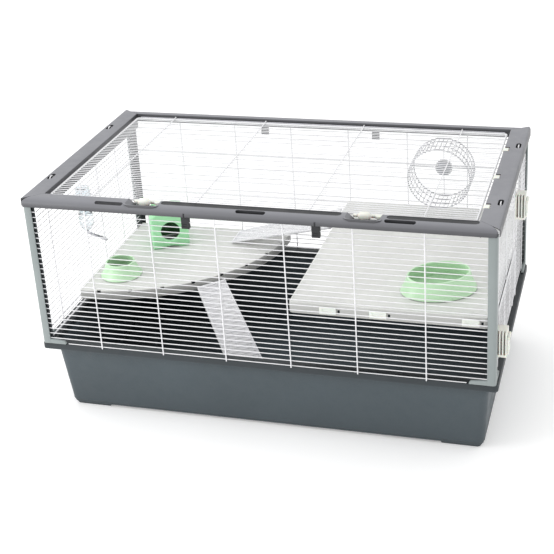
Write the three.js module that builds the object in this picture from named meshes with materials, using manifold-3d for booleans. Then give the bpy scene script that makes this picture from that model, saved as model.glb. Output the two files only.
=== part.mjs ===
// Two-level wire hamster cage on a deep plastic tray.
// Millimetres, +Z up, +X to the right, -Y to the front; the origin is under the middle of the cage.
import * as THREE from "three";
import { mergeVertices } from "three/addons/utils/BufferGeometryUtils.js";
import Module from "manifold-3d";

const wasm = await Module();
wasm.setup();

// ---------------------------------------------------------------- driving dimensions
const GAP = 0.4; // left between pieces that touch

const CAGE = { halfX: 500, halfY: 285, top: 525 }; // outer faces of the top frame
const RAIL = { height: 19, wall: 2, round: 13, endWidth: 35, sideWidth: 43, backWidth: 28 };
const SIDE_FLANGE = 17; // how far a side rail's inner wall hangs below the rail
const FRONT_LIP = 18.6; // width of the front rail's inner part, which the latch pockets interrupt
const RAIL_BOTTOM = CAGE.top - RAIL.height;

const RIM = { halfX: 498.5, halfY: 279.5, top: 179, height: 15, width: 20, corner: 8 };
const TUB = { halfX: 467, halfY: 243, corner: 16, bottom: 7, wall: 3, floor: 3.5 };
const FOOT = { length: 84, width: 40, inset: 7 };

const POST = { outerX: 495, outerY: 281.5, size: 18, round: 6 };
const POST_BOTTOM = RIM.top + GAP;
const POST_TOP = RAIL_BOTTOM - GAP;
const POST_FOOT = { reach: 37, height: 14, lowEnd: 3, thickness: 5.5, inset: 2 };

// Each grille keeps about every third of the fine wires that the real panel has. The right panel's
// rows are a little closer, so that its doors' edges fall on them.
const WIRE = { rows: 9, rightRows: 10, fine: 2.4, stout: 3.2, depth: 3 };
const PANEL_TOP = 502;
const FRONT_PANEL = { y: 281.7, bottom: 179.8, columns: [-472, -355, -213, -71, 71, 213, 355, 472] };
const SIDE_PANEL = { x: 485.5, bottom: 184 };
const LEFT_COLUMNS = [-261, -191, -28, 62, 171, 261];
const RIGHT_COLUMNS = [-261, -206, -73, 60, 112, 236, 261];

// A side door covers some columns and rows of the right grille. Its latch stands at its front edge.
const SIDE_DOORS = [
  { name: "lower", fromColumn: 1, toColumn: 3, fromRow: 1, toRow: 4 },
  { name: "upper", fromColumn: 4, toColumn: 5, fromRow: 6, toRow: 9 },
];
const DOOR = { lap: 6, x: 491, widest: 200 };
const SIDE_LATCH = {
  width: 34, height: 56, drop: 8, gap: 2, inner: 489, outer: 511, ribs: 3, ribDepth: 8,
  lip: 517, lipHeight: 6, plate: 3, inset: 3, foot: 6, travel: 12,
};

const LID = { halfX: 453, front: -240, back: 246, z: 517.5, rows: 16, edge: 4.5 };
const LID_COLUMNS = [-LID.halfX + 3, -353, -123, 117, 347, LID.halfX - 3];
const LID_ROD = { y: 252, radius: 2, halfLength: 445 };
const LID_LATCHES = { left: -229, right: 233 };
const LATCH = {
  y: -245.4, z: 517.5, sleeve: 3.8, arm: 44, halfWidth: 14, front: -264.5, bottom: 513, top: 531, round: 9,
};
const LATCH_POCKET = { halfWidth: 27 };

// Slots and windows cut into the top frame's rails: where they are along each rail, and their size.
const FRONT_SLOTS = { x: [-300, 5, 302], halfLength: 31, y: [-CAGE.halfY + 3, -CAGE.halfY + 10] };
const BACK_SLOTS = { x: [-403, 0, 402], halfLength: 31, low: 8, high: 13 };
const SIDE_NOTCHES = { y: [-179, -25, 134], halfLength: 12, depth: 11, drop: 6 };
const LID_GUIDE = { inner: 453.6, outer: 466, halfWidth: 5, height: 3.5 };
const SIDE_WINDOWS = { y: [-159, 156], halfLength: 11, from: 25, to: 31 };

const LEFT_PLATFORM = { cornerX: -478, cornerY: 266, reachX: 395, reachY: 380, top: 225, skirt: 22 };
const RIGHT_PLATFORM = { left: 68, right: 478, front: -262, back: 266, top: 322, skirt: 25 };
const PLATFORM_WALL = 3;
const PLATFORM_CLIP = { left: 151, middle: 255, right: 442 };
const PLATFORM_CLIP_SIZE = { width: 35, depth: 3, height: 16 };

const WHEEL = { x: 304, z: 425, front: 180, back: 258, radius: 73, band: 2.5, spokes: 8, spokeWidth: 3 };
const WHEEL_COLLAR = { wall: 4, front: 6, back: 2 }; // how far its two faces are from the wheel's back
const HUB = { radius: 16, front: 243, back: 262, bore: 4.4 };
const AXLE = { radius: 4, front: 241, back: 279.5 };

const BOTTLE = { x: -506.8, y: 16, radius: 17.2, neckRadius: 12, neck: 360, shoulder: 366, top: 425, round: 6 };
const BOTTLE_CAP = { radius: 17, mouth: 9, bottom: 318, shoulder: 330 };
const HANGER = { ringRadius: 18.4, wire: 0.8, z: 405 };
// The spout's middle line: how far it has come towards the cage, and how far it is below the cap.
const SPOUT = { radius: 4, line: [[0, 0.8], [0, 6], [15, 13], [50, 24]] };

const HOUSE = { x: -366.2, y: 170.9, turn: 27.8, width: 90, depth: 80, height: 92, wall: 2.5, round: 22 };
const HOUSE_DOOR = { radius: 23, height: 44 };
const HOUSE_ARCH = { radius: 60, height: 5 };
const SMALL_BOWL = { x: -415, y: -19, base: 48.5, rim: 32, height: 34, wall: 2.5 };
const OVAL_BOWL = { x: 360, y: -155, turn: 22, base: 80, rim: 64, height: 38, wall: 3 };
const OVAL_BOWL_SHAPE = { narrow: 0.76, tilt: 0.12 };

// A ramp runs from its hinge line, level with a platform's edge, down to its foot.
// Its skew carries the foot sideways, away from square to the hinge line.
const LOWER_RAMP = {
  hinge: [-198, -9, 212], foot: [-39, -168, 12], topWidth: 71, footWidth: 88, skew: 0, ribs: 22,
};
const UPPER_RAMP = {
  hinge: [64, 165, 316], foot: [-208, 165, 226.5], topWidth: 108, footWidth: 62, skew: 48, ribs: 20,
};
const RAMP_PLATE = 3;
const RAMP_RIB = { width: 2.4, height: 2 };

const PANEL_CLIP = { width: 17, depth: 6, height: 27, hook: 4, leftX: -134, rightX: 139, y: 276.8 };

// ---------------------------------------------------------------- materials
function plastic(color, roughness = 0.5) {
  return new THREE.MeshStandardMaterial({ color, roughness, metalness: 0 });
}
const TRAY_PLASTIC = plastic(0x5c666c, 0.55);
const FRAME_PLASTIC = plastic(0x8e9096, 0.5);
const POST_PLASTIC = plastic(0x8a9292, 0.5);
const CREAM_PLASTIC = plastic(0xe8e8dc, 0.45);
const PLATFORM_PLASTIC = plastic(0xe2e2dc, 0.5);
const RAMP_PLASTIC = plastic(0xe6e8f0, 0.4);
const MINT_PLASTIC = plastic(0x9fd6ae, 0.45);
const BLACK_PLASTIC = plastic(0x1c1e20, 0.5);
const HUB_PLASTIC = plastic(0x8f9098, 0.5);
const CLEAR_PLASTIC = plastic(0xd9e4ea, 0.1);
const WHITE_WIRE = new THREE.MeshStandardMaterial({ color: 0xf2f2f5, roughness: 0.35, metalness: 0.2 });
const STEEL = new THREE.MeshStandardMaterial({ color: 0xb9bcc2, roughness: 0.25, metalness: 1 });

// ---------------------------------------------------------------- geometry helpers
function toSolid(geometry) {
  const bare = geometry.clone();
  bare.deleteAttribute("normal");
  bare.deleteAttribute("uv");
  const merged = mergeVertices(bare, 1e-3);
  return new wasm.Manifold(
    new wasm.Mesh({
      numProp: 3,
      vertProperties: new Float32Array(merged.getAttribute("position").array),
      triVerts: new Uint32Array(merged.index.array),
    }),
  );
}

function toGeometry(manifold) {
  const mesh = manifold.getMesh();
  const geometry = new THREE.BufferGeometry();
  geometry.setAttribute("position", new THREE.BufferAttribute(mesh.vertProperties, 3));
  geometry.setIndex(new THREE.BufferAttribute(mesh.triVerts, 1));
  geometry.computeVertexNormals();
  return geometry;
}

function join(...geometries) {
  return toGeometry(geometries.map(toSolid).reduce((whole, piece) => whole.add(piece)));
}

function cut(geometry, ...tools) {
  return toGeometry(tools.map(toSolid).reduce((left, tool) => left.subtract(tool), toSolid(geometry)));
}

function box([x0, y0, z0], [x1, y1, z1]) {
  return new THREE.BoxGeometry(x1 - x0, y1 - y0, z1 - z0).translate(
    (x0 + x1) / 2, (y0 + y1) / 2, (z0 + z1) / 2,
  );
}

function polygon(points) {
  return new THREE.Shape(points.map(([x, y]) => new THREE.Vector2(x, y)));
}

function extrude(shape, depth, curveSegments = 8) {
  return new THREE.ExtrudeGeometry(shape, { depth, bevelEnabled: false, curveSegments });
}

// A rectangle with round corners, centred on the origin.
function roundedRectangle(halfX, halfY, radius) {
  const shape = new THREE.Shape();
  shape.moveTo(-halfX + radius, -halfY);
  shape.absarc(halfX - radius, -halfY + radius, radius, -Math.PI / 2, 0);
  shape.absarc(halfX - radius, halfY - radius, radius, 0, Math.PI / 2);
  shape.absarc(-halfX + radius, halfY - radius, radius, Math.PI / 2, Math.PI);
  shape.absarc(-halfX + radius, -halfY + radius, radius, Math.PI, 1.5 * Math.PI);
  return shape;
}

// A round-cornered block whose outline grows evenly from its lower to its upper size.
function flaredBlock(lower, upper, z0, z1) {
  const geometry = extrude(roundedRectangle(lower.halfX, lower.halfY, lower.corner), 1, 5);
  const position = geometry.getAttribute("position");
  for (let i = 0; i < position.count; i++) {
    const level = position.getZ(i);
    const growX = THREE.MathUtils.lerp(1, upper.halfX / lower.halfX, level);
    const growY = THREE.MathUtils.lerp(1, upper.halfY / lower.halfY, level);
    position.setXYZ(
      i, position.getX(i) * growX, position.getY(i) * growY, THREE.MathUtils.lerp(z0, z1, level),
    );
  }
  return geometry;
}

function cylinderZ(radius, z0, z1, sides = 24) {
  return new THREE.CylinderGeometry(radius, radius, z1 - z0, sides)
    .rotateX(Math.PI / 2)
    .translate(0, 0, (z0 + z1) / 2);
}

// A body of revolution about Z from [radius, height] points.
function turned(points, sides = 32) {
  const profile = points.map(([r, h]) => new THREE.Vector2(r, h));
  return new THREE.LatheGeometry(profile, sides).rotateX(Math.PI / 2);
}

const cage = new THREE.Group();

function addPiece(name, geometry, material, place = () => {}) {
  const mesh = new THREE.Mesh(geometry, material);
  mesh.name = name;
  place(mesh);
  cage.add(mesh);
}

// ---------------------------------------------------------------- base tray
function makeTray() {
  const rimBottom = RIM.top - RIM.height;
  const mouth = { halfX: RIM.halfX - RIM.width, halfY: RIM.halfY - RIM.width, corner: RIM.corner };
  const inside = {
    halfX: TUB.halfX - TUB.wall, halfY: TUB.halfY - TUB.wall, corner: TUB.corner,
  };
  const mouthInside = { halfX: mouth.halfX - TUB.wall, halfY: mouth.halfY - TUB.wall };
  const rim = extrude(roundedRectangle(RIM.halfX, RIM.halfY, RIM.corner), RIM.height, 5)
    .translate(0, 0, rimBottom);
  const rimHollow = extrude(
    roundedRectangle(RIM.halfX - TUB.wall, RIM.halfY - TUB.wall, RIM.corner), RIM.height, 5,
  ).translate(0, 0, rimBottom - TUB.wall);
  const outside = flaredBlock(TUB, mouth, TUB.bottom, RIM.top);
  const hollow = flaredBlock(inside, mouthInside, TUB.bottom + TUB.floor, RIM.top + 1);
  // Two crossing channels cut the sole away, which leaves a foot at each corner.
  const sole = {
    halfX: TUB.halfX - FOOT.inset, halfY: TUB.halfY - FOOT.inset, corner: TUB.corner - FOOT.inset,
  };
  const pad = extrude(roundedRectangle(sole.halfX, sole.halfY, sole.corner), TUB.bottom + 1, 5);
  const betweenX = sole.halfX - FOOT.length;
  const betweenY = sole.halfY - FOOT.width;
  const feet = cut(
    pad,
    box([-betweenX, -TUB.halfY, -1], [betweenX, TUB.halfY, TUB.bottom]),
    box([-TUB.halfX, -betweenY, -1], [TUB.halfX, betweenY, TUB.bottom]),
  );
  const skirtedRim = cut(rim, rimHollow);
  addPiece("base_tray", cut(join(outside, skirtedRim, feet), hollow), TRAY_PLASTIC);
}

// ---------------------------------------------------------------- top frame
// A rail's section: x runs from its inner to its outer edge, y is height. It is a channel open below.
function railSection(width, flange) {
  const { wall, round, height } = RAIL;
  const section = new THREE.Shape();
  section.moveTo(0, -flange);
  section.lineTo(wall, -flange);
  section.lineTo(wall, height - wall);
  section.lineTo(width - round, height - wall);
  section.absarc(width - round, height - round, round - wall, Math.PI / 2, 0, true);
  section.lineTo(width - wall, 0);
  section.lineTo(width, 0);
  section.lineTo(width, height - round);
  section.absarc(width - round, height - round, round, 0, Math.PI / 2);
  section.lineTo(0, height);
  return section;
}

// The rail's ends are mitred: each point stops short of the corner by its own distance from the outer edge.
function mitredRail(width, halfLength, startInset, endInset, flange = 0) {
  const geometry = extrude(railSection(width, flange), 2, 6).translate(0, 0, -1);
  const position = geometry.getAttribute("position");
  for (let i = 0; i < position.count; i++) {
    const end = Math.sign(position.getZ(i));
    const inset = end < 0 ? startInset : endInset;
    const fromOuter = (width - position.getX(i)) / width;
    position.setZ(i, end * (halfLength - GAP - fromOuter * inset));
  }
  return geometry;
}

// Stands a rail's section up on one side of the cage, given the direction that faces outwards.
function placeRail(mesh, outward, innerDistance) {
  const up = new THREE.Vector3(0, 0, 1);
  const along = new THREE.Vector3().crossVectors(outward, up);
  mesh.quaternion.setFromRotationMatrix(new THREE.Matrix4().makeBasis(outward, up, along));
  mesh.position.copy(outward).multiplyScalar(innerDistance);
  mesh.position.z = RAIL_BOTTOM;
}

// A rail's section stands with x outwards from its inner edge and y up from its bottom.
// The front rail's own z axis runs towards -X, the back rail's towards +X.
function makeFrontRail() {
  const { height, wall, endWidth, sideWidth } = RAIL;
  const innerY = -(CAGE.halfY - endWidth);
  const end = CAGE.halfX + 1;
  const rail = mitredRail(endWidth, CAGE.halfX, sideWidth, sideWidth);
  const across = (from, to, x0, x1) => box([from, -1, -x1], [to, height + 1, -x0]);
  const place = (mesh) => placeRail(mesh, new THREE.Vector3(0, -1, 0), -innerY);
  const [outerEdge, innerEdge] = FRONT_SLOTS.y.map((y) => innerY - y);
  const slots = FRONT_SLOTS.x.map((x) =>
    box(
      [innerEdge, height - RAIL.round + wall, -x - FRONT_SLOTS.halfLength],
      [outerEdge, height + 1, -x + FRONT_SLOTS.halfLength],
    ),
  );
  const inside = across(-1, FRONT_LIP + GAP, -end, end);
  addPiece("top_rail_front", cut(rail, inside, ...slots), FRAME_PLASTIC, place);
  const outside = across(FRONT_LIP, endWidth + 1, -end, end);
  const { left, right } = LID_LATCHES;
  const { halfWidth } = LATCH_POCKET;
  const lips = {
    left: [-CAGE.halfX, left - halfWidth],
    middle: [left + halfWidth, right - halfWidth],
    right: [right + halfWidth, CAGE.halfX],
  };
  for (const [name, [from, to]] of Object.entries(lips)) {
    const ends = [across(-1, endWidth, -end, from), across(-1, endWidth, to, end)];
    addPiece(`front_rail_lip_${name}`, cut(rail, outside, ...ends), FRAME_PLASTIC, place);
  }
}

function makeBackRail() {
  const { wall, sideWidth, backWidth } = RAIL;
  const { low, high, halfLength } = BACK_SLOTS;
  const slots = BACK_SLOTS.x.map((x) => box([-1, low, x - halfLength], [wall + 1, high, x + halfLength]));
  const rail = mitredRail(backWidth, CAGE.halfX, sideWidth, sideWidth);
  addPiece("top_rail_back", cut(rail, ...slots), FRAME_PLASTIC, (mesh) =>
    placeRail(mesh, new THREE.Vector3(0, 1, 0), CAGE.halfY - backWidth),
  );
}

// A side rail's own z axis runs towards -Y on the right and +Y on the left. Only the right one is notched.
function makeSideRail(name, side) {
  const { height, wall, endWidth, sideWidth, backWidth } = RAIL;
  const across = (place, y, from, to, bottom) =>
    box([from, bottom, -side * y - place.halfLength], [to, height + 1, -side * y + place.halfLength]);
  const notches = (side > 0 ? SIDE_NOTCHES.y : []).map((y) =>
    across(SIDE_NOTCHES, y, -1, SIDE_NOTCHES.depth, height - SIDE_NOTCHES.drop),
  );
  const windows = SIDE_WINDOWS.y.map((y) =>
    across(SIDE_WINDOWS, y, SIDE_WINDOWS.from, SIDE_WINDOWS.to, height - wall - 1),
  );
  const insets = side < 0 ? [endWidth, backWidth] : [backWidth, endWidth];
  const rail = mitredRail(sideWidth, CAGE.halfY, ...insets, SIDE_FLANGE);
  addPiece(`top_rail_${name}`, cut(rail, ...notches, ...windows), FRAME_PLASTIC, (mesh) =>
    placeRail(mesh, new THREE.Vector3(side, 0, 0), CAGE.halfX - sideWidth),
  );
}

// ---------------------------------------------------------------- corner posts
function makePost(name, sideX, sideY) {
  const { outerX, outerY, size, round } = POST;
  const half = size / 2;
  const height = POST_TOP - POST_BOTTOM;
  const { reach, height: footHeight, lowEnd, thickness, inset } = POST_FOOT;
  const column = extrude(roundedRectangle(half, half, round), height, 3);
  const wedge = polygon([[0, 0], [reach + half, 0], [reach + half, lowEnd], [0, footHeight]]);
  const standing = () => extrude(wedge, thickness).rotateX(Math.PI / 2);
  const footX = standing().translate(0, thickness + inset - half, 0);
  const footY = standing().rotateZ(Math.PI / 2).translate(inset - half, 0, 0);
  // The piece is drawn for the front left corner and turned to its own corner by quarter turns.
  const quarterTurns = sideX < 0 ? (sideY < 0 ? 0 : 3) : sideY < 0 ? 1 : 2;
  addPiece(name, join(column, footX, footY), POST_PLASTIC, (mesh) => {
    mesh.rotation.z = (quarterTurns * Math.PI) / 2;
    mesh.position.set(sideX * (outerX - half), sideY * (outerY - half), POST_BOTTOM);
  });
}

// ---------------------------------------------------------------- wire grilles
// A flat grille in its own XY plane: a bar stands at each column and row, with a window in each cell.
// A cell that an opening covers has no window of its own.
function grille(columns, rows, edge, openings = []) {
  const half = WIRE.stout / 2;
  const plate = box(
    [columns[0] - half, rows[0] - edge / 2, -WIRE.depth / 2],
    [columns.at(-1) + half, rows.at(-1) + edge / 2, WIRE.depth / 2],
  );
  const windowBox = ([x0, y0], [x1, y1]) => box([x0, y0, -WIRE.depth], [x1, y1, WIRE.depth]);
  const within = (value, low, high) => value > low && value < high;
  const covered = (x, y) =>
    openings.some(([low, high]) => within(x, low[0], high[0]) && within(y, low[1], high[1]));
  const windows = openings.map(([low, high]) => windowBox(low, high));
  columns.slice(1).forEach((x1, c) => {
    rows.slice(1).forEach((y1, r) => {
      const [x0, y0] = [columns[c], rows[r]];
      if (covered((x0 + x1) / 2, (y0 + y1) / 2)) return;
      const lowBar = (r === 0 ? edge : WIRE.fine) / 2;
      const highBar = (r === rows.length - 2 ? edge : WIRE.fine) / 2;
      windows.push(windowBox([x0 + half, y0 + lowBar], [x1 - half, y1 - highBar]));
    });
  });
  return cut(plate, ...windows);
}

function evenRows(first, last, count) {
  return Array.from({ length: count + 1 }, (_, i) => first + (i * (last - first)) / count);
}

// Stands a grille up: its own X runs along the wall and its own Y points up.
function standAcross(mesh, y) {
  mesh.rotation.x = Math.PI / 2;
  mesh.position.y = y;
}

function standAlong(mesh, x) {
  mesh.quaternion.setFromRotationMatrix(
    new THREE.Matrix4().makeBasis(
      new THREE.Vector3(0, 1, 0), new THREE.Vector3(0, 0, 1), new THREE.Vector3(1, 0, 0),
    ),
  );
  mesh.position.x = x;
}

const FRONT_ROWS = evenRows(FRONT_PANEL.bottom, PANEL_TOP, WIRE.rows);
const LEFT_ROWS = evenRows(SIDE_PANEL.bottom, PANEL_TOP, WIRE.rows);
const RIGHT_ROWS = evenRows(SIDE_PANEL.bottom, PANEL_TOP, WIRE.rightRows);

function doorOpening(door) {
  return {
    front: RIGHT_COLUMNS[door.fromColumn], back: RIGHT_COLUMNS[door.toColumn],
    low: RIGHT_ROWS[door.fromRow], high: RIGHT_ROWS[door.toRow],
  };
}

function makeGrilles() {
  for (const [name, side] of [["front", -1], ["back", 1]]) {
    addPiece(
      `${name}_grille`, grille(FRONT_PANEL.columns, FRONT_ROWS, WIRE.stout), WHITE_WIRE,
      (mesh) => standAcross(mesh, side * FRONT_PANEL.y),
    );
  }
  addPiece(
    "left_grille", grille(LEFT_COLUMNS, LEFT_ROWS, WIRE.stout), WHITE_WIRE,
    (mesh) => standAlong(mesh, -SIDE_PANEL.x),
  );
  const openings = SIDE_DOORS.map(doorOpening).map(({ front, back, low, high }) => [
    [front + WIRE.stout / 2, low + WIRE.fine / 2],
    [back - WIRE.stout / 2, high - WIRE.fine / 2],
  ]);
  addPiece(
    "right_grille", grille(RIGHT_COLUMNS, RIGHT_ROWS, WIRE.stout, openings), WHITE_WIRE,
    (mesh) => standAlong(mesh, SIDE_PANEL.x),
  );
}

// ---------------------------------------------------------------- side doors and their latches
function makeSideDoor(door) {
  const { front, back, low, high } = doorOpening(door);
  const half = WIRE.stout / 2;
  const middle = back - front > DOOR.widest ? [(front + back) / 2] : [];
  const columns = [front - DOOR.lap + half, ...middle, back + DOOR.lap - half];
  const rows = evenRows(low - DOOR.lap, high + DOOR.lap, 3);
  addPiece(`side_door_${door.name}`, grille(columns, rows, WIRE.stout), WHITE_WIRE, (mesh) =>
    standAlong(mesh, DOOR.x),
  );
}

// The housing is ribbed on the inside; its slider is an outer plate with a lip to push up on.
function makeSideLatch(door) {
  const { front, low, high } = doorOpening(door);
  const { width, height, drop, gap, inner, outer, ribs, ribDepth } = SIDE_LATCH;
  const { lip, lipHeight, plate, inset, foot, travel } = SIDE_LATCH;
  const y1 = front - DOOR.lap - gap;
  const y0 = y1 - width;
  const z0 = (low + high - height) / 2 - drop;
  const z1 = z0 + height;
  const pitch = width / (2 * ribs + 1);
  const grooves = Array.from({ length: ribs }, (_, i) => {
    const y = y0 + (2 * i + 1) * pitch;
    return box([inner - 1, y, z0 - 1], [inner + ribDepth, y + pitch, z1 - ribDepth]);
  });
  const housing = cut(box([inner, y0, z0], [outer, y1, z1]), ...grooves);
  addPiece(`side_latch_housing_${door.name}`, housing, CREAM_PLASTIC);
  const plateX = outer + GAP;
  const plateTop = z1 - travel;
  addPiece(
    `side_latch_slider_${door.name}`,
    join(
      box([plateX, y0 + inset, z0 + foot], [plateX + plate, y1 - inset, plateTop]),
      box([plateX, y0 + inset, plateTop - lipHeight], [lip, y1 - inset, plateTop]),
    ),
    CREAM_PLASTIC,
  );
}

// ---------------------------------------------------------------- lid
function makeLid() {
  const rows = evenRows(LID.front + LID.edge / 2, LID.back - LID.edge / 2, LID.rows);
  addPiece("lid_grille", grille(LID_COLUMNS, rows, LID.edge), WHITE_WIRE, (mesh) => {
    mesh.position.z = LID.z;
  });
  const { y, radius, halfLength } = LID_ROD;
  const rod = new THREE.CylinderGeometry(radius, radius, 2 * halfLength, 10).rotateZ(Math.PI / 2);
  addPiece("lid_hinge_rod", rod, STEEL, (mesh) => mesh.position.set(0, y, LID.z));
}

// A thumb knob that sits in its pocket, and an arm that runs beside the lid's front wire.
function makeLidLatch(name, x) {
  const { y, z, sleeve, arm, halfWidth, front, bottom, top, round } = LATCH;
  const section = new THREE.Shape();
  section.moveTo(y - 1, bottom + 2);
  section.lineTo(y - 1, z + sleeve);
  section.absarc(front + round, top - round, round, Math.PI / 4, Math.PI);
  section.lineTo(front, bottom + 3);
  section.lineTo(front + 3, bottom);
  // The section is drawn in the YZ plane and pushed out along X.
  const knob = extrude(section, 2 * halfWidth, 6)
    .applyMatrix4(new THREE.Matrix4().makeBasis(
      new THREE.Vector3(0, 1, 0), new THREE.Vector3(0, 0, 1), new THREE.Vector3(1, 0, 0),
    ))
    .translate(-halfWidth, 0, 0);
  const length = arm + halfWidth;
  const rod = new THREE.CylinderGeometry(sleeve, sleeve, length, 12)
    .rotateZ(Math.PI / 2)
    .translate(length / 2 - halfWidth, y, z);
  addPiece(`lid_latch_${name}`, join(knob, rod), CREAM_PLASTIC, (mesh) => {
    mesh.position.x = x;
  });
}

// Small tabs stand in the right rail's notches, beside the lid's edge.
function makeLidGuides() {
  const { inner, outer, halfWidth, height } = LID_GUIDE;
  const bottom = CAGE.top - SIDE_NOTCHES.drop + GAP;
  for (const [i, row] of ["front", "middle", "back"].entries()) {
    const tab = box([inner, -halfWidth, bottom], [outer, halfWidth, bottom + height]);
    addPiece(`lid_guide_${row}`, tab, CREAM_PLASTIC, (mesh) => {
      mesh.position.y = SIDE_NOTCHES.y[i];
    });
  }
}

// ---------------------------------------------------------------- black clips under the rails
function makePanelClip(name, x, side) {
  const { width, depth, height, hook, y } = PANEL_CLIP;
  const top = RAIL_BOTTOM - GAP;
  const inner = (-side * depth) / 2;
  const body = box([-width / 2, -depth / 2, top - height], [width / 2, depth / 2, top]);
  const lug = box([-width / 2, inner - hook / 2, top - depth], [width / 2, inner + hook / 2, top]);
  addPiece(name, join(body, lug), BLACK_PLASTIC, (mesh) => mesh.position.set(x, side * y, 0));
}

// ---------------------------------------------------------------- platforms
// A quarter ellipse in the back left corner, with a skirt under its curved edge.
function quarterEllipse(reachX, reachY) {
  const shape = new THREE.Shape();
  shape.moveTo(0, 0);
  shape.lineTo(0, -reachY);
  shape.absellipse(0, 0, reachX, reachY, -Math.PI / 2, 0, false, 0);
  return shape;
}

function makeLeftPlatform() {
  const { cornerX, cornerY, reachX, reachY, top, skirt } = LEFT_PLATFORM;
  const plate = extrude(quarterEllipse(reachX, reachY), skirt, 28);
  const under = extrude(quarterEllipse(reachX - PLATFORM_WALL, reachY - PLATFORM_WALL), skirt, 28)
    .translate(-1, 1, -PLATFORM_WALL);
  const wider = box([-2, -reachY + PLATFORM_WALL + 2, -1], [2, 2, skirt - PLATFORM_WALL]);
  addPiece("left_platform", cut(plate, under, wider), PLATFORM_PLASTIC, (mesh) =>
    mesh.position.set(cornerX, cornerY, top - skirt),
  );
}

function makeRightPlatform() {
  const { left, right, front, back, top, skirt } = RIGHT_PLATFORM;
  const whole = box([left, front, top - skirt], [right, back, top]);
  const under = box(
    [left + PLATFORM_WALL, front + PLATFORM_WALL, top - skirt - 1],
    [right + 1, back + 1, top - PLATFORM_WALL],
  );
  addPiece("right_platform", cut(whole, under), PLATFORM_PLASTIC);
  const { width, depth, height } = PLATFORM_CLIP_SIZE;
  for (const [name, x] of Object.entries(PLATFORM_CLIP)) {
    const z = top - skirt / 2;
    const clip = box(
      [x - width / 2, front - GAP - depth, z - height / 2],
      [x + width / 2, front - GAP, z + height / 2],
    );
    addPiece(`platform_clip_${name}`, clip, CREAM_PLASTIC);
  }
}

// ---------------------------------------------------------------- ramps
// A flared plate with cross ribs. Its own X runs down the ramp from the hinge, its own Y across it.
function makeRamp(name, ramp) {
  const hinge = new THREE.Vector3(...ramp.hinge);
  const down = new THREE.Vector3(...ramp.foot).sub(hinge);
  const length = down.length();
  const edges = (x) => {
    const half = THREE.MathUtils.lerp(ramp.topWidth, ramp.footWidth, x / length) / 2;
    const middle = (ramp.skew * x) / length;
    return [middle - half, middle + half];
  };
  const [[top0, top1], [foot0, foot1]] = [edges(0), edges(length)];
  const outline = polygon([[0, top0], [length, foot0], [length, foot1], [0, top1]]);
  const plate = extrude(outline, RAMP_PLATE);
  const ribs = Array.from({ length: ramp.ribs }, (_, i) => {
    const x = ((i + 1) * length) / (ramp.ribs + 1);
    const [y0, y1] = edges(x);
    return box([x, y0 + 3, RAMP_PLATE - 1], [x + RAMP_RIB.width, y1 - 3, RAMP_PLATE + RAMP_RIB.height]);
  });
  const heading = down.normalize();
  const across = new THREE.Vector3(0, 0, 1).cross(heading).normalize();
  const normal = new THREE.Vector3().crossVectors(heading, across);
  addPiece(name, join(plate, ...ribs), RAMP_PLASTIC, (mesh) => {
    mesh.quaternion.setFromRotationMatrix(new THREE.Matrix4().makeBasis(heading, across, normal));
    mesh.position.copy(hinge);
  });
}

// ---------------------------------------------------------------- running wheel
// Drawn about Z with its open mouth at z = 0, then laid with its axle along Y.
function layAlongY(mesh) {
  mesh.rotation.x = -Math.PI / 2;
  mesh.position.set(WHEEL.x, WHEEL.front, WHEEL.z);
}

function makeWheel() {
  const { radius, band, front, back, spokes, spokeWidth } = WHEEL;
  const depth = back - front;
  const ring = (outer, inner, z0, z1, sides) =>
    turned([[inner, z0], [outer, z0], [outer, z1], [inner, z1], [inner, z0]], sides);
  const collar = ring(
    HUB.radius + WHEEL_COLLAR.wall, HUB.radius + GAP, depth - WHEEL_COLLAR.front, depth - WHEEL_COLLAR.back, 24,
  );
  const arms = Array.from({ length: spokes }, (_, i) =>
    box(
      [HUB.radius + WHEEL_COLLAR.wall / 2, -spokeWidth / 2, depth - WHEEL_COLLAR.back - spokeWidth],
      [radius - band / 2, spokeWidth / 2, depth - WHEEL_COLLAR.back],
    ).rotateZ((2 * Math.PI * i) / spokes),
  );
  const drum = join(ring(radius, radius - band, 0, depth, 40), collar, ...arms);
  const hub = ring(HUB.radius, HUB.bore, HUB.front - front, HUB.back - front, 24);
  const axle = cylinderZ(AXLE.radius, AXLE.front - front, AXLE.back - front, 16);
  addPiece("wheel_drum", drum, WHITE_WIRE, layAlongY);
  addPiece("wheel_hub", hub, HUB_PLASTIC, layAlongY);
  addPiece("wheel_axle", axle, STEEL, layAlongY);
}

// ---------------------------------------------------------------- water bottle
function makeBottle() {
  const { x, y, radius, neckRadius, neck, shoulder, top, round } = BOTTLE;
  const place = (mesh) => mesh.position.set(x, y, 0);
  const body = [
    [0, neck], [neckRadius, neck], [radius, shoulder], [radius, top - round], [radius - round, top], [0, top],
  ];
  addPiece("bottle_body", turned(body, 20), CLEAR_PLASTIC, place);
  const cap = [
    [0, BOTTLE_CAP.bottom], [BOTTLE_CAP.mouth, BOTTLE_CAP.bottom], [BOTTLE_CAP.radius, BOTTLE_CAP.shoulder],
    [BOTTLE_CAP.radius, neck - GAP], [0, neck - GAP],
  ];
  addPiece("bottle_cap", turned(cap, 20), CLEAR_PLASTIC, place);
  const route = new THREE.CatmullRomCurve3(
    SPOUT.line.map(([inwards, below]) => new THREE.Vector3(inwards, 0, BOTTLE_CAP.bottom - below)),
  );
  const circle = new THREE.Shape().absarc(0, 0, SPOUT.radius, 0, 2 * Math.PI);
  const spout = new THREE.ExtrudeGeometry(circle, { steps: 12, curveSegments: 5, extrudePath: route });
  addPiece("bottle_spout", spout, STEEL, place);
  const hanger = new THREE.TorusGeometry(HANGER.ringRadius, HANGER.wire, 6, 28).translate(0, 0, HANGER.z);
  addPiece("bottle_hanger", hanger, WHITE_WIRE, place);
}

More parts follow.
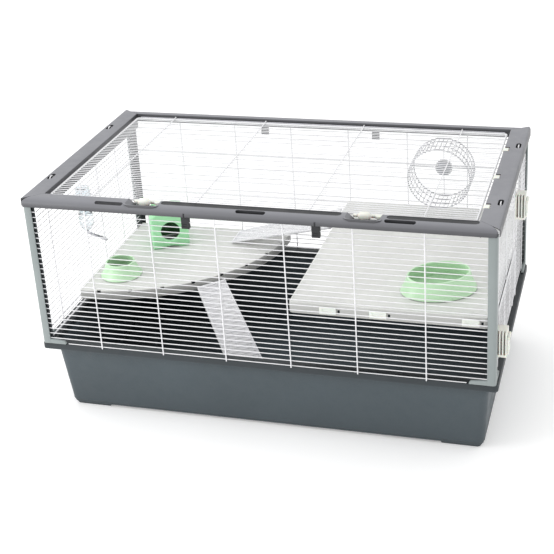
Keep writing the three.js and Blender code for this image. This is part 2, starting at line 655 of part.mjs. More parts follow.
// ---------------------------------------------------------------- house and bowls
function makeHouse() {
  const { x, y, turn, width, depth, height, wall, round: outerRound } = HOUSE;
  const arch = (inset, low) => {
    const half = width / 2 - inset;
    const round = outerRound - inset;
    const shape = new THREE.Shape();
    shape.moveTo(-half, low);
    shape.lineTo(half, low);
    shape.absarc(half - round, height - inset - round, round, 0, Math.PI / 2);
    shape.absarc(round - half, height - inset - round, round, Math.PI / 2, Math.PI);
    return shape;
  };
  const stand = (geometry, from) => geometry.rotateX(Math.PI / 2).translate(0, from, 0);
  const shell = stand(extrude(arch(0, 0), depth, 4), depth / 2);
  const inside = stand(extrude(arch(wall, -1), depth - 2 * wall, 4), depth / 2 - wall);
  const throughFront = (radius, z, sides) =>
    new THREE.CylinderGeometry(radius, radius, 3 * wall, sides).translate(0, -depth / 2, z);
  const hole = throughFront(HOUSE_DOOR.radius, HOUSE_DOOR.height, 24);
  const lowArch = throughFront(HOUSE_ARCH.radius, HOUSE_ARCH.height - HOUSE_ARCH.radius, 40);
  addPiece("house", cut(shell, inside, hole, lowArch), MINT_PLASTIC, (mesh) => {
    mesh.rotation.z = THREE.MathUtils.degToRad(turn);
    mesh.position.set(x, y, LEFT_PLATFORM.top + GAP);
  });
}

function bowlProfile({ base, rim, height, wall }) {
  return [
    [0, 0], [base, 0], [base - 1, 4], [rim, height],
    [rim - wall, height], [base - 2 * wall, 2 * wall], [0, 1.5 * wall],
  ];
}

function makeBowls() {
  addPiece("small_bowl", turned(bowlProfile(SMALL_BOWL), 32), MINT_PLASTIC, (mesh) =>
    mesh.position.set(SMALL_BOWL.x, SMALL_BOWL.y, LEFT_PLATFORM.top + GAP),
  );
  const oval = turned(bowlProfile(OVAL_BOWL), 36).scale(1, OVAL_BOWL_SHAPE.narrow, 1);
  const position = oval.getAttribute("position");
  for (let i = 0; i < position.count; i++) {
    const rise = 1 + (OVAL_BOWL_SHAPE.tilt * position.getX(i)) / OVAL_BOWL.base;
    position.setZ(i, position.getZ(i) * rise);
  }
  addPiece("oval_bowl", oval, MINT_PLASTIC, (mesh) => {
    mesh.rotation.z = THREE.MathUtils.degToRad(OVAL_BOWL.turn);
    mesh.position.set(OVAL_BOWL.x, OVAL_BOWL.y, RIGHT_PLATFORM.top + GAP);
  });
}

// ---------------------------------------------------------------- assembly
makeTray();
makeFrontRail();
makeBackRail();
makeSideRail("left", -1);
makeSideRail("right", 1);
makePost("post_front_left", -1, -1);
makePost("post_front_right", 1, -1);
makePost("post_back_left", -1, 1);
makePost("post_back_right", 1, 1);
makeGrilles();
SIDE_DOORS.forEach((door) => {
  makeSideDoor(door);
  makeSideLatch(door);
});
makeLid();
makeLidGuides();
Object.entries(LID_LATCHES).forEach(([name, x]) => makeLidLatch(name, x));
for (const [row, side] of [["front", -1], ["back", 1]]) {
  makePanelClip(`panel_clip_${row}_left`, PANEL_CLIP.leftX, side);
  makePanelClip(`panel_clip_${row}_right`, PANEL_CLIP.rightX, side);
}
makeLeftPlatform();
makeRightPlatform();
makeRamp("lower_ramp", LOWER_RAMP);
makeRamp("upper_ramp", UPPER_RAMP);
makeWheel();
makeBottle();
makeHouse();
makeBowls();

export default cage;
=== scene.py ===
from math import copysign, cos, pi, radians, sin, sqrt

import bmesh
import bpy
from mathutils import Matrix, Quaternion, Vector


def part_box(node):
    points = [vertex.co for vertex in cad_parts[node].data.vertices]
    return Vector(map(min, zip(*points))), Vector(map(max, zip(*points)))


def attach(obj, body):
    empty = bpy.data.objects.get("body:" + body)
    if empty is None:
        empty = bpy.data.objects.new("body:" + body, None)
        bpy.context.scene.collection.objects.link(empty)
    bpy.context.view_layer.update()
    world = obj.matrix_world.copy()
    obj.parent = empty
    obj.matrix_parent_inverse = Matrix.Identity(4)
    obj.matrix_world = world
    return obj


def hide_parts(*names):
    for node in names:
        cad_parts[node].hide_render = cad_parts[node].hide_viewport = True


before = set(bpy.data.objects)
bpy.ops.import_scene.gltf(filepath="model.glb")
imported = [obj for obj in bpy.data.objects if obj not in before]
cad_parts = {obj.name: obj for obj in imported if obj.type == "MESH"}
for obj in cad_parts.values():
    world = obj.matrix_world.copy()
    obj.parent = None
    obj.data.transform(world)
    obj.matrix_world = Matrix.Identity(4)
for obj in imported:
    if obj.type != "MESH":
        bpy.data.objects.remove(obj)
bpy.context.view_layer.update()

MM = 0.001

# --- sizes
FINE_WIRE = 1.0  # radii
STOUT_WIRE = 1.4
EDGE_WIRE = 2.1
WIRES_APART = FINE_WIRE + STOUT_WIRE - 0.1  # welded wires sink into each other a little
PANEL_GAPS = 27  # between the fine wires of a panel
FRONT_WIRES = {"y": 277.8, "reach": 490, "lowest_inset": 54}  # the lowest wire ends at the posts' feet
SIDE_WIRE_REACH = 276

RAIL_WALL = 2
RAIL_HEIGHT = 19
RAIL_WIDTHS = {"top_rail_front": 35, "top_rail_back": 28, "top_rail_left": 43, "top_rail_right": 43}
RAIL_INSETS = {  # how far each rail's two ends are cut back at its inner edge
    "top_rail_front": (43, 43), "top_rail_back": (43, 43),
    "top_rail_left": (28, 35), "top_rail_right": (35, 28),
}
RAIL_LIP = 1.5
FRONT_ROUND = 17
SIDE_ROUND = 7
SIDE_FLANGE = 17
FRAME_CORNER = 12
GROOVE = {"width": 17, "inset": 2, "strip": 3.5, "spans": [(-190, 188), (278, 458)]}
FRONT_SLOTS = {"x": [-300, 5, 307], "half_length": 31, "from_outer": (6, 14)}
BACK_SLOTS = {"x": [-403, 0, 402], "half_length": 31, "low": 8, "high": 13}
SIDE_NOTCHES = {"y": [-179, -25, 134], "half_length": 12, "depth": 11, "drop": 6}
SIDE_WINDOWS = {"y": [-159, 156], "half_length": 15, "from_inner": (23, 34)}
SLOT_FLOOR = (4.5, 6.5)  # a plate under the front rail's slots
WINDOW_LOOP = 9
LID_GUIDE_REACH = 9
PANEL_CLIP = {"grooves": (5, 10), "groove_half": 5}
CLIP_TONGUE = {"half_width": 1.4, "height": 8}
SOCKET = {"wall": 1.5, "depth": 9}  # a closed box under a slot or window
LATCH_RECESS = {"top": 37, "bottom": 22, "depth": 29.5, "liner": 1.6, "height": 13}

SIDE_LATCH = {"channels": 3, "plate": 3, "grooves": 4}
KNOB = {"half_x": 14, "half_y": 8, "half_z": 8.6, "from_front": 8.2}
LATCH_ARM = {"z": 517.5, "radius": 3.7}
LATCH_WING = [(19, -1), (21, -9), (27, -11.5), (34, -10)]  # outlines from the middle of the knob
LATCH_TAIL = [(-25, -1), (-23, -7), (-17, -8), (-16, 1), (-25, 1)]

TRAY_RIM_WIDTH = 20
RIM_CORNER = 8
TRAY_SKIRT = 15
TUB = {"half_x": 467, "half_y": 243, "corner": 16, "bottom": 7, "step": 7}
MOUTH_CORNER = 18
RIM_NOTCH = {"x": 4.5, "length": 43, "width": 5}
FOOT = {"length": 84, "width": 40, "inset": 7, "corner": 9}

POST_SIZE = 18
POST_WALL = 2.6
POST_ROUND = 6
POST_FOOT = {"near": 4, "height": 11, "depths": (0.4, 5.9)}
POST_CHANNEL = {"wall": 2.5, "outer": 487, "inner": 472.5, "front": 275, "back": 262, "side": 483}

FRONT_COLUMNS = [-355, -213, -71, 71, 213, 355]
LEFT_COLUMNS = [-191, -28, 62, 171]
RIGHT_COLUMNS = [-206, -73, 60, 112, 236]
LID_COLUMNS = [-353, -123, 117, 347]
LID = {"corner": 7, "gaps": 48, "hook": 3.6}
DOOR = {"corner": 6, "lap": 6, "row_pitch": 10.6, "upright_pitch": 90, "eye_inset": 22}

WHEEL = {"rim_wire": 1.6, "wire": 1.1, "bars": 44, "spokes": 4, "spoke_wire": 0.8, "collar": (16.4, 20)}

BOTTLE_NECK = (11, 12.2)  # inner and outer radius
BOTTLE_CAP = {"radius": 16.9, "sides": 72, "rib": 0.5}
BOTTLE_RING = {"wire": 0.9, "half_gap": 7, "end_x": -484.5}
SPOUT = {"radius": 3.6, "collar": 3.9, "bend": [(0, 0), (0, 5), (5, 9.5), (15, 13), (32, 18)]}

PLATFORM_WALL = 2.8
PLATFORM_CLIP = {"groove_half": 11, "slot": (20, 25)}  # the slot is cut beside the clip
PLATFORM_HOLES = {"first": -83.5, "step": 10.7, "count": 7, "width": 9, "height": 4.5}
RAMPS = {  # hinge and foot are the middles of a ramp's two ends; skew is how far the foot is off to one side
    "lower_ramp": {"hinge": (-198, -9, 212), "foot": (-39, -168, 12),
                   "top_width": 71, "foot_width": 88, "skew": 0, "ribs": 30},
    "upper_ramp": {"hinge": (64, 165, 316), "foot": (-208, 165, 226.5),
                   "top_width": 108, "foot_width": 62, "skew": 48, "ribs": 34},
}

HOUSE = {"x": -366.2, "y": 170.9, "turn": 27.8, "width": 90, "depth": 80, "height": 92,
         "round": 22, "wall": 2.4}
HOUSE_DOOR = {"radius": 23, "height": 44}
HOUSE_ARCH = {"radius": 60, "height": -55}  # the low arch cut from the front's foot
HOUSE_VENTS = {"y": [-20, 0, 20], "half_width": 2, "low": 56, "high": 70}
SMALL_BOWL = {"rim": 33, "wall": 2.5}
OVAL_BOWL = {"x": 360, "y": -155, "turn": 22, "base": 80, "rim": 65, "wall": 3,
             "height": 38, "narrow": 0.76, "tilt": 0.12}

# --- looks
BOTTLE_COLOUR = (0.86, 0.92, 0.95)
WIRE_COLOUR = (0.84, 0.84, 0.86)
STEEL_COLOUR = (0.5, 0.5, 0.53)
RIM_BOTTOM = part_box("base_tray")[1].z - TRAY_SKIRT * MM
# Painted light and shade in these plastics: hollows are darkened as painted shade (dark green inside the
# house), the tray's rim is darkened as painted shade, faces that look sideways are darkened as painted
# shade, and sharp edges are painted paler as painted light.
PLASTICS = {
    "tray_plastic": {"colour": (0.061, 0.082, 0.095), "roughness": 0.5, "grain": 2100, "grain_depth": 0.35,
                     "hollows": (0.35, 0.28), "rim": (RIM_BOTTOM, 0.35), "scuffed": True},
    "frame_plastic": {"colour": (0.215, 0.218, 0.238), "roughness": 0.42, "grain": 2100, "grain_depth": 0.35,
                      "hollows": (0.02, 0.35), "sideways": 0.32, "scuffed": True},
    "post_plastic": {"colour": (0.26, 0.293, 0.292), "roughness": 0.42},
    "cream_plastic": {"colour": (0.82, 0.82, 0.75), "roughness": 0.35, "hollows": (0.012, 0.45),
                      "Subsurface_Weight": 0.1},
    "platform_plastic": {"colour": (0.765, 0.77, 0.745), "roughness": 0.5, "grain": 1500, "sideways": 0.6},
    "ramp_plastic": {"colour": (0.96, 0.96, 0.99), "roughness": 0.3, "variation": 0.03,
                     "Transmission_Weight": 0.12, "IOR": 1.2},
    "mint_plastic": {"colour": (0.55, 0.81, 0.53), "roughness": 0.32, "grain_depth": 0.12, "edge": 1.4,
                     "hollows": (0.09, (0.01, 0.07, 0.01), 0.45)},
    "house_plastic": {"colour": (0.38, 0.77, 0.43), "roughness": 0.32, "grain_depth": 0.12, "edge": 1.4,
                      "hollows": (0.09, (0.0, 0.1, 0.0), 0.45), "Specular_IOR_Level": 0.2},
    "black_plastic": {"colour": (0.010, 0.011, 0.014), "roughness": 0.45, "variation": 0.2},
    "hub_plastic": {"colour": (0.26, 0.27, 0.31), "roughness": 0.35},
}

CAMERA = {
    "place": (0.7461, -2.3873, 1.4982), "azimuth": 16.8, "elevation": 23.59, "roll": -3.3,
    "lens": 79.95, "shift_x": -0.0415, "shift_y": -0.1209,
}
FLOOR = {"half": 6000, "thickness": 20, "tones": (0.92, 0.95), "glow": 0.22, "roughness": 0.9}
SOFTBOXES = {
    "overhead": {"place": (-0.3, 0.2, 2.6), "aim": (0, 0, 0.3), "size": (2.4, 1.6), "power": 8},
    "front_left": {"place": (-2.2, -1.4, 1.1), "aim": (-0.3, 0, 0.2), "size": (1.2, 1.2), "power": 26},
}


# --- drawing
class Shape:
    """Vertices and faces gathered for one piece, in millimetres. What draws on it gives it back."""

    def __init__(self):
        self.vertices = []
        self.faces = []

    def add(self, vertices, faces, place=None):
        start = len(self.vertices)
        for vertex in vertices:
            self.vertices.append(place @ Vector(vertex) if place else Vector(vertex))
        for face in faces:
            self.faces.append([start + i for i in face])
        return self

    def loft(self, loops, closed=False, caps=True, place=None):
        """A skin over loops that all have the same number of points."""
        count = len(loops[0])
        rows = len(loops) if closed else len(loops) - 1
        faces = []
        for row in range(rows):
            low, high = row * count, (row + 1) % len(loops) * count
            for i in range(count):
                j = (i + 1) % count
                faces.append((low + i, low + j, high + j, high + i))
        if caps and not closed:
            last = (len(loops) - 1) * count
            faces.append(tuple(reversed(range(count))))
            faces.append(tuple(range(last, last + count)))
        return self.add([point for loop in loops for point in loop], faces, place)

    def tube(self, points, radius, sides=8, closed=False, place=None):
        """A round wire along a line of points."""
        points = [Vector(point) for point in points]
        loops = []
        side = None
        for i, point in enumerate(points):
            before = points[i - 1] if closed or i > 0 else point
            after = points[(i + 1) % len(points)] if closed or i + 1 < len(points) else point
            forward = (after - before).normalized()
            side = forward.orthogonal() if side is None else side - forward * side.dot(forward)
            side.normalize()
            other = forward.cross(side)
            loops.append([point + radius * (cos(a) * side + sin(a) * other) for a in turns(sides)])
        return self.loft(loops, closed=closed, place=place)

    def rod(self, start, end, radius, sides=8, place=None):
        """A straight wire whose two ends are rounded off."""
        start, end = Vector(start), Vector(end)
        forward = (end - start).normalized()
        side = forward.orthogonal().normalized()
        other = forward.cross(side)
        loops = []
        for point, share in ((start, 0.5), (start + forward * radius * 0.5, 1),
                             (end - forward * radius * 0.5, 1), (end, 0.5)):
            ring = [cos(a) * side + sin(a) * other for a in turns(sides)]
            loops.append([point + radius * share * spoke for spoke in ring])
        return self.loft(loops, place=place)

    def lathe(self, profile, sides=48, closed=False, place=None):
        """A profile of (radius, z) points turned about Z."""
        return self.loft([circle(r, z, sides) for r, z in profile], closed=closed, place=place)

    def prism(self, outline, low, high, place=None):
        """An outline in x and y, drawn up from z = low to z = high."""
        return self.loft([[(x, y, z) for x, y in outline] for z in (low, high)], place=place)

    def block(self, low, high, place=None):
        (x0, y0, z0), (x1, y1, z1) = low, high
        return self.prism([(x0, y0), (x1, y0), (x1, y1), (x0, y1)], z0, z1, place)


def turns(count):
    return [2 * pi * i / count for i in range(count)]


def circle(radius, z, sides):
    return [(radius * cos(a), radius * sin(a), z) for a in turns(sides)]


def spread(first, last, count):
    """Evenly spaced values from first to last."""
    return [first + (last - first) * i / (count - 1) for i in range(count)]


def arc(centre, radius, start, end, steps):
    """Points of an arc in a plane, its angles in degrees."""
    angles = [radians(a) for a in spread(start, end, steps + 1)]
    return [(centre[0] + radius * cos(a), centre[1] + radius * sin(a)) for a in angles]


def rounded_rectangle(half_x, half_y, radius, z, steps=9):
    corners = (
        (half_x - radius, radius - half_y, -90),
        (half_x - radius, half_y - radius, 0),
        (radius - half_x, half_y - radius, 90),
        (radius - half_x, radius - half_y, 180),
    )
    flat = [point for x, y, start in corners for point in arc((x, y), radius, start, start + 90, steps)]
    return [(x, y, z) for x, y in flat]


def box_mm(node):
    low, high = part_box(node)
    return low / MM, high / MM


def middle(node):
    low, high = box_mm(node)
    return (low + high) / 2


# --- pieces
def new_object(name, shape):
    mesh = bpy.data.meshes.new(name)
    mesh.from_pydata([vertex * MM for vertex in shape.vertices], [], shape.faces)
    built = bmesh.new()
    built.from_mesh(mesh)
    bmesh.ops.recalc_face_normals(built, faces=built.faces)
    built.to_mesh(mesh)
    built.free()
    return add_to_scene(name, mesh)


def add_to_scene(name, data, place=(0, 0, 0), rotation=None):
    """An object of its data, and where a rotation is given, turned by that quaternion."""
    made = bpy.data.objects.new(name, data)
    made.location = place
    if rotation is not None:
        made.rotation_mode = "QUATERNION"
        made.rotation_quaternion = rotation
    bpy.context.scene.collection.objects.link(made)
    return made


def apply_modifiers(target):
    graph = bpy.context.evaluated_depsgraph_get()
    mesh = bpy.data.meshes.new_from_object(target.evaluated_get(graph))
    target.modifiers.clear()
    target.data = mesh


def combine(target, shape, operation="DIFFERENCE"):
    """Cuts a shape out of an object, or joins it on."""
    tool = new_object("tool", shape)
    modifier = target.modifiers.new("combine", "BOOLEAN")
    modifier.operation = operation
    modifier.solver = "EXACT"
    modifier.use_self = True
    modifier.object = tool
    apply_modifiers(target)
    bpy.data.objects.remove(tool)


def round_edges(target, width, segments=2, angle=40):
    modifier = target.modifiers.new("round_edges", "BEVEL")
    modifier.width = width * MM
    modifier.segments = segments
    modifier.limit_method = "ANGLE"
    modifier.angle_limit = radians(angle)
    modifier.use_clamp_overlap = True
    modifier.miter_outer = "MITER_ARC"
    apply_modifiers(target)


def finish_piece(target, body, material, replaced=(), sharp=35, slot=None):
    """Smooths a piece, paints it, and hands it to its body in the place of its CAD nodes."""
    target.data.shade_smooth()
    target.data.set_sharp_from_angle(angle=radians(sharp))
    target.data.materials.clear()
    target.data.materials.append(MATERIALS[material])
    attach(target, body)
    if replaced:
        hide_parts(*replaced)


def make_piece(name, shape, body, material, replaced=(), **settings):
    """A piece that needs no cutting."""
    finish_piece(new_object(name, shape), body, material, replaced, **settings)


# --- materials
class Nodes:
    """A material's node tree, with short names for making and joining nodes."""

    def __init__(self, name):
        self.material = bpy.data.materials.new(name)
        self.material.use_nodes = True
        self.tree = self.material.node_tree
        self.shader = self.tree.nodes["Principled BSDF"]
        self.place = self.make("ShaderNodeTexCoord").outputs["Object"]

    def make(self, kind, **values):
        node = self.tree.nodes.new(kind)
        for name, value in values.items():
            setattr(node, name, value)
        return node

    def join(self, output, entry):
        self.tree.links.new(output, entry)

    def noise(self, scale, detail=3, stretch=(1, 1, 1), roughness=0.5):
        """Noise whose features are about 1 / scale metres across."""
        mapping = self.make("ShaderNodeMapping")
        mapping.inputs["Scale"].default_value = stretch
        self.join(self.place, mapping.inputs["Vector"])
        texture = self.make("ShaderNodeTexNoise")
        texture.inputs["Scale"].default_value = scale
        texture.inputs["Detail"].default_value = detail
        texture.inputs["Roughness"].default_value = roughness
        self.join(mapping.outputs["Vector"], texture.inputs["Vector"])
        return texture.outputs["Fac"]

    def ramp(self, value, low, high, start=0.3, end=0.7):
        """Colour or grey between low and high as value goes from start to end."""
        made = self.make("ShaderNodeValToRGB")
        for stop, position, colour in zip(made.color_ramp.elements, (start, end), (low, high)):
            stop.position = position
            stop.color = (*colour, 1) if isinstance(colour, (tuple, list)) else (colour, colour, colour, 1)
        self.join(value, made.inputs["Fac"])
        return made.outputs["Color"]

    def bump(self, height, strength, distance, under=None):
        made = self.make("ShaderNodeBump")
        made.inputs["Strength"].default_value = strength
        made.inputs["Distance"].default_value = distance
        self.join(height, made.inputs["Height"])
        if under:
            self.join(under, made.inputs["Normal"])
        return made.outputs["Normal"]

    def scaled(self, colours, factors):
        mix = self.make("ShaderNodeMixRGB", blend_type="MULTIPLY")
        mix.inputs["Fac"].default_value = 1
        self.join(colours, mix.inputs["Color1"])
        self.join(factors, mix.inputs["Color2"])
        return mix.outputs["Color"]

    def z_of(self, vectors):
        axes = self.make("ShaderNodeSeparateXYZ")
        self.join(vectors, axes.inputs["Vector"])
        return axes.outputs["Z"]

    def paint_sideways_shade(self, colours, sideways):
        """Painted light and shade: faces that look up stay paler, and those that look sideways have their
        colour scaled down as painted shade.
        """
        upward = self.z_of(self.make("ShaderNodeTexCoord").outputs["Normal"])
        return self.scaled(colours, self.ramp(upward, sideways, 1.0, 0.0, 0.95))

    def paint_shade_above(self, colours, height, amount):
        """What lies above height metres, as a turned-down rim does, is darkened as painted shade."""
        blur = 0.5 * MM
        shades = self.ramp(self.z_of(self.place), 1.0, amount, height - blur, height + blur)
        return self.scaled(colours, shades)

    def paint_edge_light(self, colours, painted_edge_colour):
        """Painted light: thin, sharp edges are painted paler than the walls, as light that comes through
        them.
        """
        mix = self.make("ShaderNodeMixRGB")
        sharpness = self.make("ShaderNodeNewGeometry").outputs["Pointiness"]
        self.join(self.ramp(sharpness, 0.0, 1.0, 0.52, 0.6), mix.inputs["Fac"])
        self.join(colours, mix.inputs["Color1"])
        mix.inputs["Color2"].default_value = (*painted_edge_colour, 1)
        return mix.outputs["Color"]

    def paint_hollow_shade(self, colours, reach, darkest, clear=0.75):
        """Painted shade: hollows that see less than the share called clear, within reach metres, look
        darker.
        """
        occlusion = self.make("ShaderNodeAmbientOcclusion", samples=4)
        occlusion.inputs["Distance"].default_value = reach
        return self.scaled(colours, self.ramp(occlusion.outputs["AO"], darkest, (1, 1, 1), 0.1, clear))

    def feed(self, name, output):
        """Joins an output to the shader, whose Normal, Roughness and so on it then sets."""
        self.join(output, self.shader.inputs[name])

    def setting(self, name, value):
        self.shader.inputs[name].default_value = value


def shade(colour, amount):
    return tuple(min(1, max(0, channel * amount)) for channel in colour)


def moulded_plastic(name, colour, roughness, grain=2600, grain_depth=0.25, variation=0.06, edge=None,
                    hollows=None, sideways=None, rim=None, scuffed=False, **settings):
    """Injection-moulded plastic: cloudy colour, a fine spark-eroded grain and faint flow waves.

    Sharp edges may be painted paler as painted light, sideways faces, hollows and a rim darker as painted
    shade, and long hairline scuffs may catch the light.
    """
    nodes = Nodes(name)
    clouds = nodes.noise(7, detail=4)
    colours = nodes.ramp(clouds, shade(colour, 1 - variation), shade(colour, 1 + variation))
    if edge:
        colours = nodes.paint_edge_light(colours, shade(colour, edge))
    if sideways:
        colours = nodes.paint_sideways_shade(colours, sideways)
    if rim:
        colours = nodes.paint_shade_above(colours, *rim)
    if hollows:
        colours = nodes.paint_hollow_shade(colours, *hollows)
    nodes.feed("Base Color", colours)
    nodes.feed("Roughness", nodes.ramp(nodes.noise(45, detail=5), roughness - 0.07, roughness + 0.08))
    waves = nodes.bump(nodes.noise(14, detail=2), 0.12, 0.0015)
    surface = nodes.bump(nodes.noise(grain, detail=2), grain_depth, 0.00012, waves)
    if scuffed:
        scratches = nodes.noise(60, detail=6, stretch=(0.12, 1, 2.2), roughness=0.75)
        lines = nodes.ramp(scratches, 0.0, 1.0, 0.62, 0.66)
        surface = nodes.bump(lines, 0.1, 0.00008, surface)
    nodes.feed("Normal", surface)
    for setting, value in settings.items():
        nodes.setting(setting.replace("_", " "), value)
    return nodes.material


def powder_coat(name, colour):
    """White powder-coated wire: slight orange peel, uneven gloss and faint greying."""
    nodes = Nodes(name)
    nodes.feed("Base Color", nodes.ramp(nodes.noise(38, detail=5), shade(colour, 0.9), colour))
    nodes.feed("Roughness", nodes.ramp(nodes.noise(120, detail=4), 0.22, 0.4))
    nodes.feed("Normal", nodes.bump(nodes.noise(900, detail=2), 0.25, 0.00025))
    nodes.setting("Coat Weight", 0.25)
    nodes.setting("Coat Roughness", 0.2)
    return nodes.material


def polished_steel(name, colour):
    """Drawn steel with fine lengthwise lines."""
    nodes = Nodes(name)
    nodes.feed("Base Color", nodes.ramp(nodes.noise(90, detail=4), shade(colour, 0.85), colour))
    nodes.feed("Roughness", nodes.ramp(nodes.noise(300, detail=4, stretch=(0.1, 1, 1)), 0.14, 0.32))
    nodes.feed("Normal", nodes.bump(nodes.noise(1500, detail=2, stretch=(0.05, 1, 1)), 0.15, 0.0001))
    nodes.setting("Metallic", 1.0)
    return nodes.material


def clear_plastic(name, colour):
    """Crystal plastic with the waviness of a blown bottle."""
    nodes = Nodes(name)
    nodes.feed("Base Color", nodes.ramp(nodes.noise(20, detail=2), shade(colour, 0.94), colour))
    nodes.feed("Roughness", nodes.ramp(nodes.noise(160, detail=3), 0.02, 0.09))
    nodes.feed("Normal", nodes.bump(nodes.noise(70, detail=2), 0.5, 0.0012))
    nodes.setting("Transmission Weight", 0.92)
    nodes.setting("IOR", 1.5)
    return nodes.material


MATERIALS = {name: moulded_plastic(name, **settings) for name, settings in PLASTICS.items()}
MATERIALS["clear_plastic"] = clear_plastic("clear_plastic", BOTTLE_COLOUR)
MATERIALS["white_wire"] = powder_coat("white_wire", WIRE_COLOUR)
MATERIALS["steel"] = polished_steel("steel", STEEL_COLOUR)


# --- base tray
def tray_ring(half_x, half_y, corner, inset, z):
    return rounded_rectangle(half_x - inset, half_y - inset, max(1, corner - inset), z)


def make_tray():
    high = box_mm("base_tray")[1]
    rim = (high.x, high.y, RIM_CORNER)
    mouth = (high.x - TRAY_RIM_WIDTH, high.y - TRAY_RIM_WIDTH, MOUTH_CORNER)
    tub = (TUB["half_x"], TUB["half_y"], TUB["corner"])
    top, skirt, sole = high.z, high.z - TRAY_SKIRT, TUB["bottom"]
    step = sole + TUB["step"]
    outside = [
        (tub, 9, sole), (tub, 4, sole + 0.4), (tub, 2.6, sole + 2), (tub, 2.5, step - 0.8),
        (tub, 1, step), (tub, 0, step + 1.5), (tub, 0, step + 6),
        (mouth, 0, top - 9), (mouth, -1.5, top - 4), (rim, 3.4, top - 3), (rim, 2.6, top - 4),
        (rim, 2.6, skirt + 0.6), (rim, 2, skirt), (rim, 0.6, skirt), (rim, 0, skirt + 0.8),
        (rim, 0, top - 2.4), (rim, 0.7, top - 0.7), (rim, 2.4, top),
    ]
    inside = [
        (mouth, -1, top), (mouth, 1.6, top - 1), (mouth, 2.6, top - 4),
        (tub, 3, sole + 12), (tub, 4.5, sole + 6), (tub, 9, sole + 3.5),
    ]
    shape = Shape().loft([tray_ring(*size, inset, z) for size, inset, z in outside + inside])
    for side_x in (-1, 1):
        for side_y in (-1, 1):
            add_foot(shape, side_x, side_y)
    tray = new_object("tray", shape)
    notch = slot_outline(RIM_NOTCH["x"], 4 - high.y, RIM_NOTCH["length"], RIM_NOTCH["width"])
    combine(tray, Shape().prism(notch, top - 1.6, top + 2))
    finish_piece(tray, "tray", "tray_plastic", ["base_tray"], sharp=30)


def slot_outline(x, y, length, width, steps=6):
    """A slot with round ends, along X."""
    reach = (length - width) / 2
    right = arc((x + reach, y), width / 2, -90, 90, steps)
    left = arc((x - reach, y), width / 2, 90, 270, steps)
    return right + left


def add_foot(shape, side_x, side_y):
    outer_x, outer_y = TUB["half_x"] - FOOT["inset"], TUB["half_y"] - FOOT["inset"]
    inner_x, inner_y = outer_x - FOOT["length"], outer_y - FOOT["width"]
    loops = []
    for z, inset in ((0, 3.5), (0.4, 1.6), (2, 0.4), (TUB["bottom"] + 1, 0)):
        corner = FOOT["corner"] - inset
        rounded = arc((outer_x - FOOT["corner"], outer_y - FOOT["corner"]), corner, 0, 90, 9)
        flat = [(inner_x + inset, inner_y + inset), (outer_x - inset, inner_y + inset)]
        flat += rounded + [(inner_x + inset, outer_y - inset)]
        loops.append([(side_x * x, side_y * y, z) for x, y in flat])
    shape.loft(loops)


# --- top frame
def rail_section(width, height, rounding, flange):
    """The outline of a channel that is open below: x outwards from its inner edge, y up from its bottom."""
    wall = RAIL_WALL
    outline = [(0, -flange)]
    outline += arc((RAIL_LIP, height - RAIL_LIP), RAIL_LIP, 180, 90, 3)
    outline += arc((width - rounding, height - rounding), rounding, 90, 0, 10)
    outline += [(width, 1), (width - 0.6, 0), (width - wall, 0)]
    outline += arc((width - rounding, height - rounding), rounding - wall, 0, 90, 8)
    outline += [(wall, height - wall), (wall, -flange)]
    return outline


def add_rail(name, outward, rounding, cuts, joins=(), flange=0, replaced=()):
    """A mitred rail. Cuts and joins are drawn with x outwards from its inner edge, y along it and z up."""
    outward = Vector(outward)
    along = Vector((0, 0, 1)).cross(outward)
    frame_high = box_mm("top_rail_back")[1]
    outer = frame_high.dot(Vector(map(abs, outward)))
    half_length = frame_high.dot(Vector(map(abs, along)))
    width, bottom = RAIL_WIDTHS[name], frame_high.z - RAIL_HEIGHT
    place = frame_of(outward * (outer - width) + Vector((0, 0, bottom)), outward, along)
    before, after = RAIL_INSETS[name]
    section = rail_section(width, RAIL_HEIGHT, rounding, flange)
    loops = []
    for end, inset in ((-1, before), (1, after)):
        loops.append([(x, end * (half_length - 0.3 - (width - x) / width * inset), z) for x, z in section])
    rail = new_object(name.replace("top_rail", "frame_rail"), Shape().loft(loops, place=place))
    for tool in joins:
        combine(rail, placed(tool, place), "UNION")
    for tool in cuts:
        combine(rail, placed(tool, place))
    corners = [rounded_rectangle(frame_high.x, frame_high.y, FRAME_CORNER, z, steps=8)
               for z in (bottom - flange - 1, frame_high.z + 1)]
    combine(rail, Shape().loft(corners), "INTERSECT")
    round_edges(rail, 0.5, segments=1, angle=50)
    finish_piece(rail, "cage", "frame_plastic", [name, *replaced], sharp=30)


def frame_of(origin, x_axis, y_axis):
    """A placing whose x and y go along two directions, with z up."""
    columns = Matrix((x_axis, y_axis, Vector((0, 0, 1)))).transposed()
    return Matrix.Translation(origin) @ columns.to_4x4()


def placed(shape, place):
    return Shape().add(shape.vertices, shape.faces, place)


def one_block(low, high):
    return Shape().block(low, high)


def upright_slot(x_from, x_to, y, half_length, z_from, z_to):
    """A slot with round ends along y, cut down from above."""
    width = x_to - x_from
    outline = [(x, y) for y, x in slot_outline(y, (x_from + x_to) / 2, 2 * half_length, width)]
    return Shape().prism(outline, z_from, z_to)


def recess_block(x, grow, low, high, depth):
    """A trough across a rail's inner edge: wide at the top and narrower at the bottom."""
    top, bottom = LATCH_RECESS["top"] + grow, LATCH_RECESS["bottom"] + grow
    loops = []
    for z, half in ((low, bottom), (high, top)):
        front = arc((depth - 8, half - 8), 8, 90, 0, 4)
        front += [(fx, -fy) for fx, fy in reversed(front)]
        loops.append([(px, x + py, z) for px, py in [(-1, half)] + front + [(-1, -half)]])
    return Shape().loft(loops)


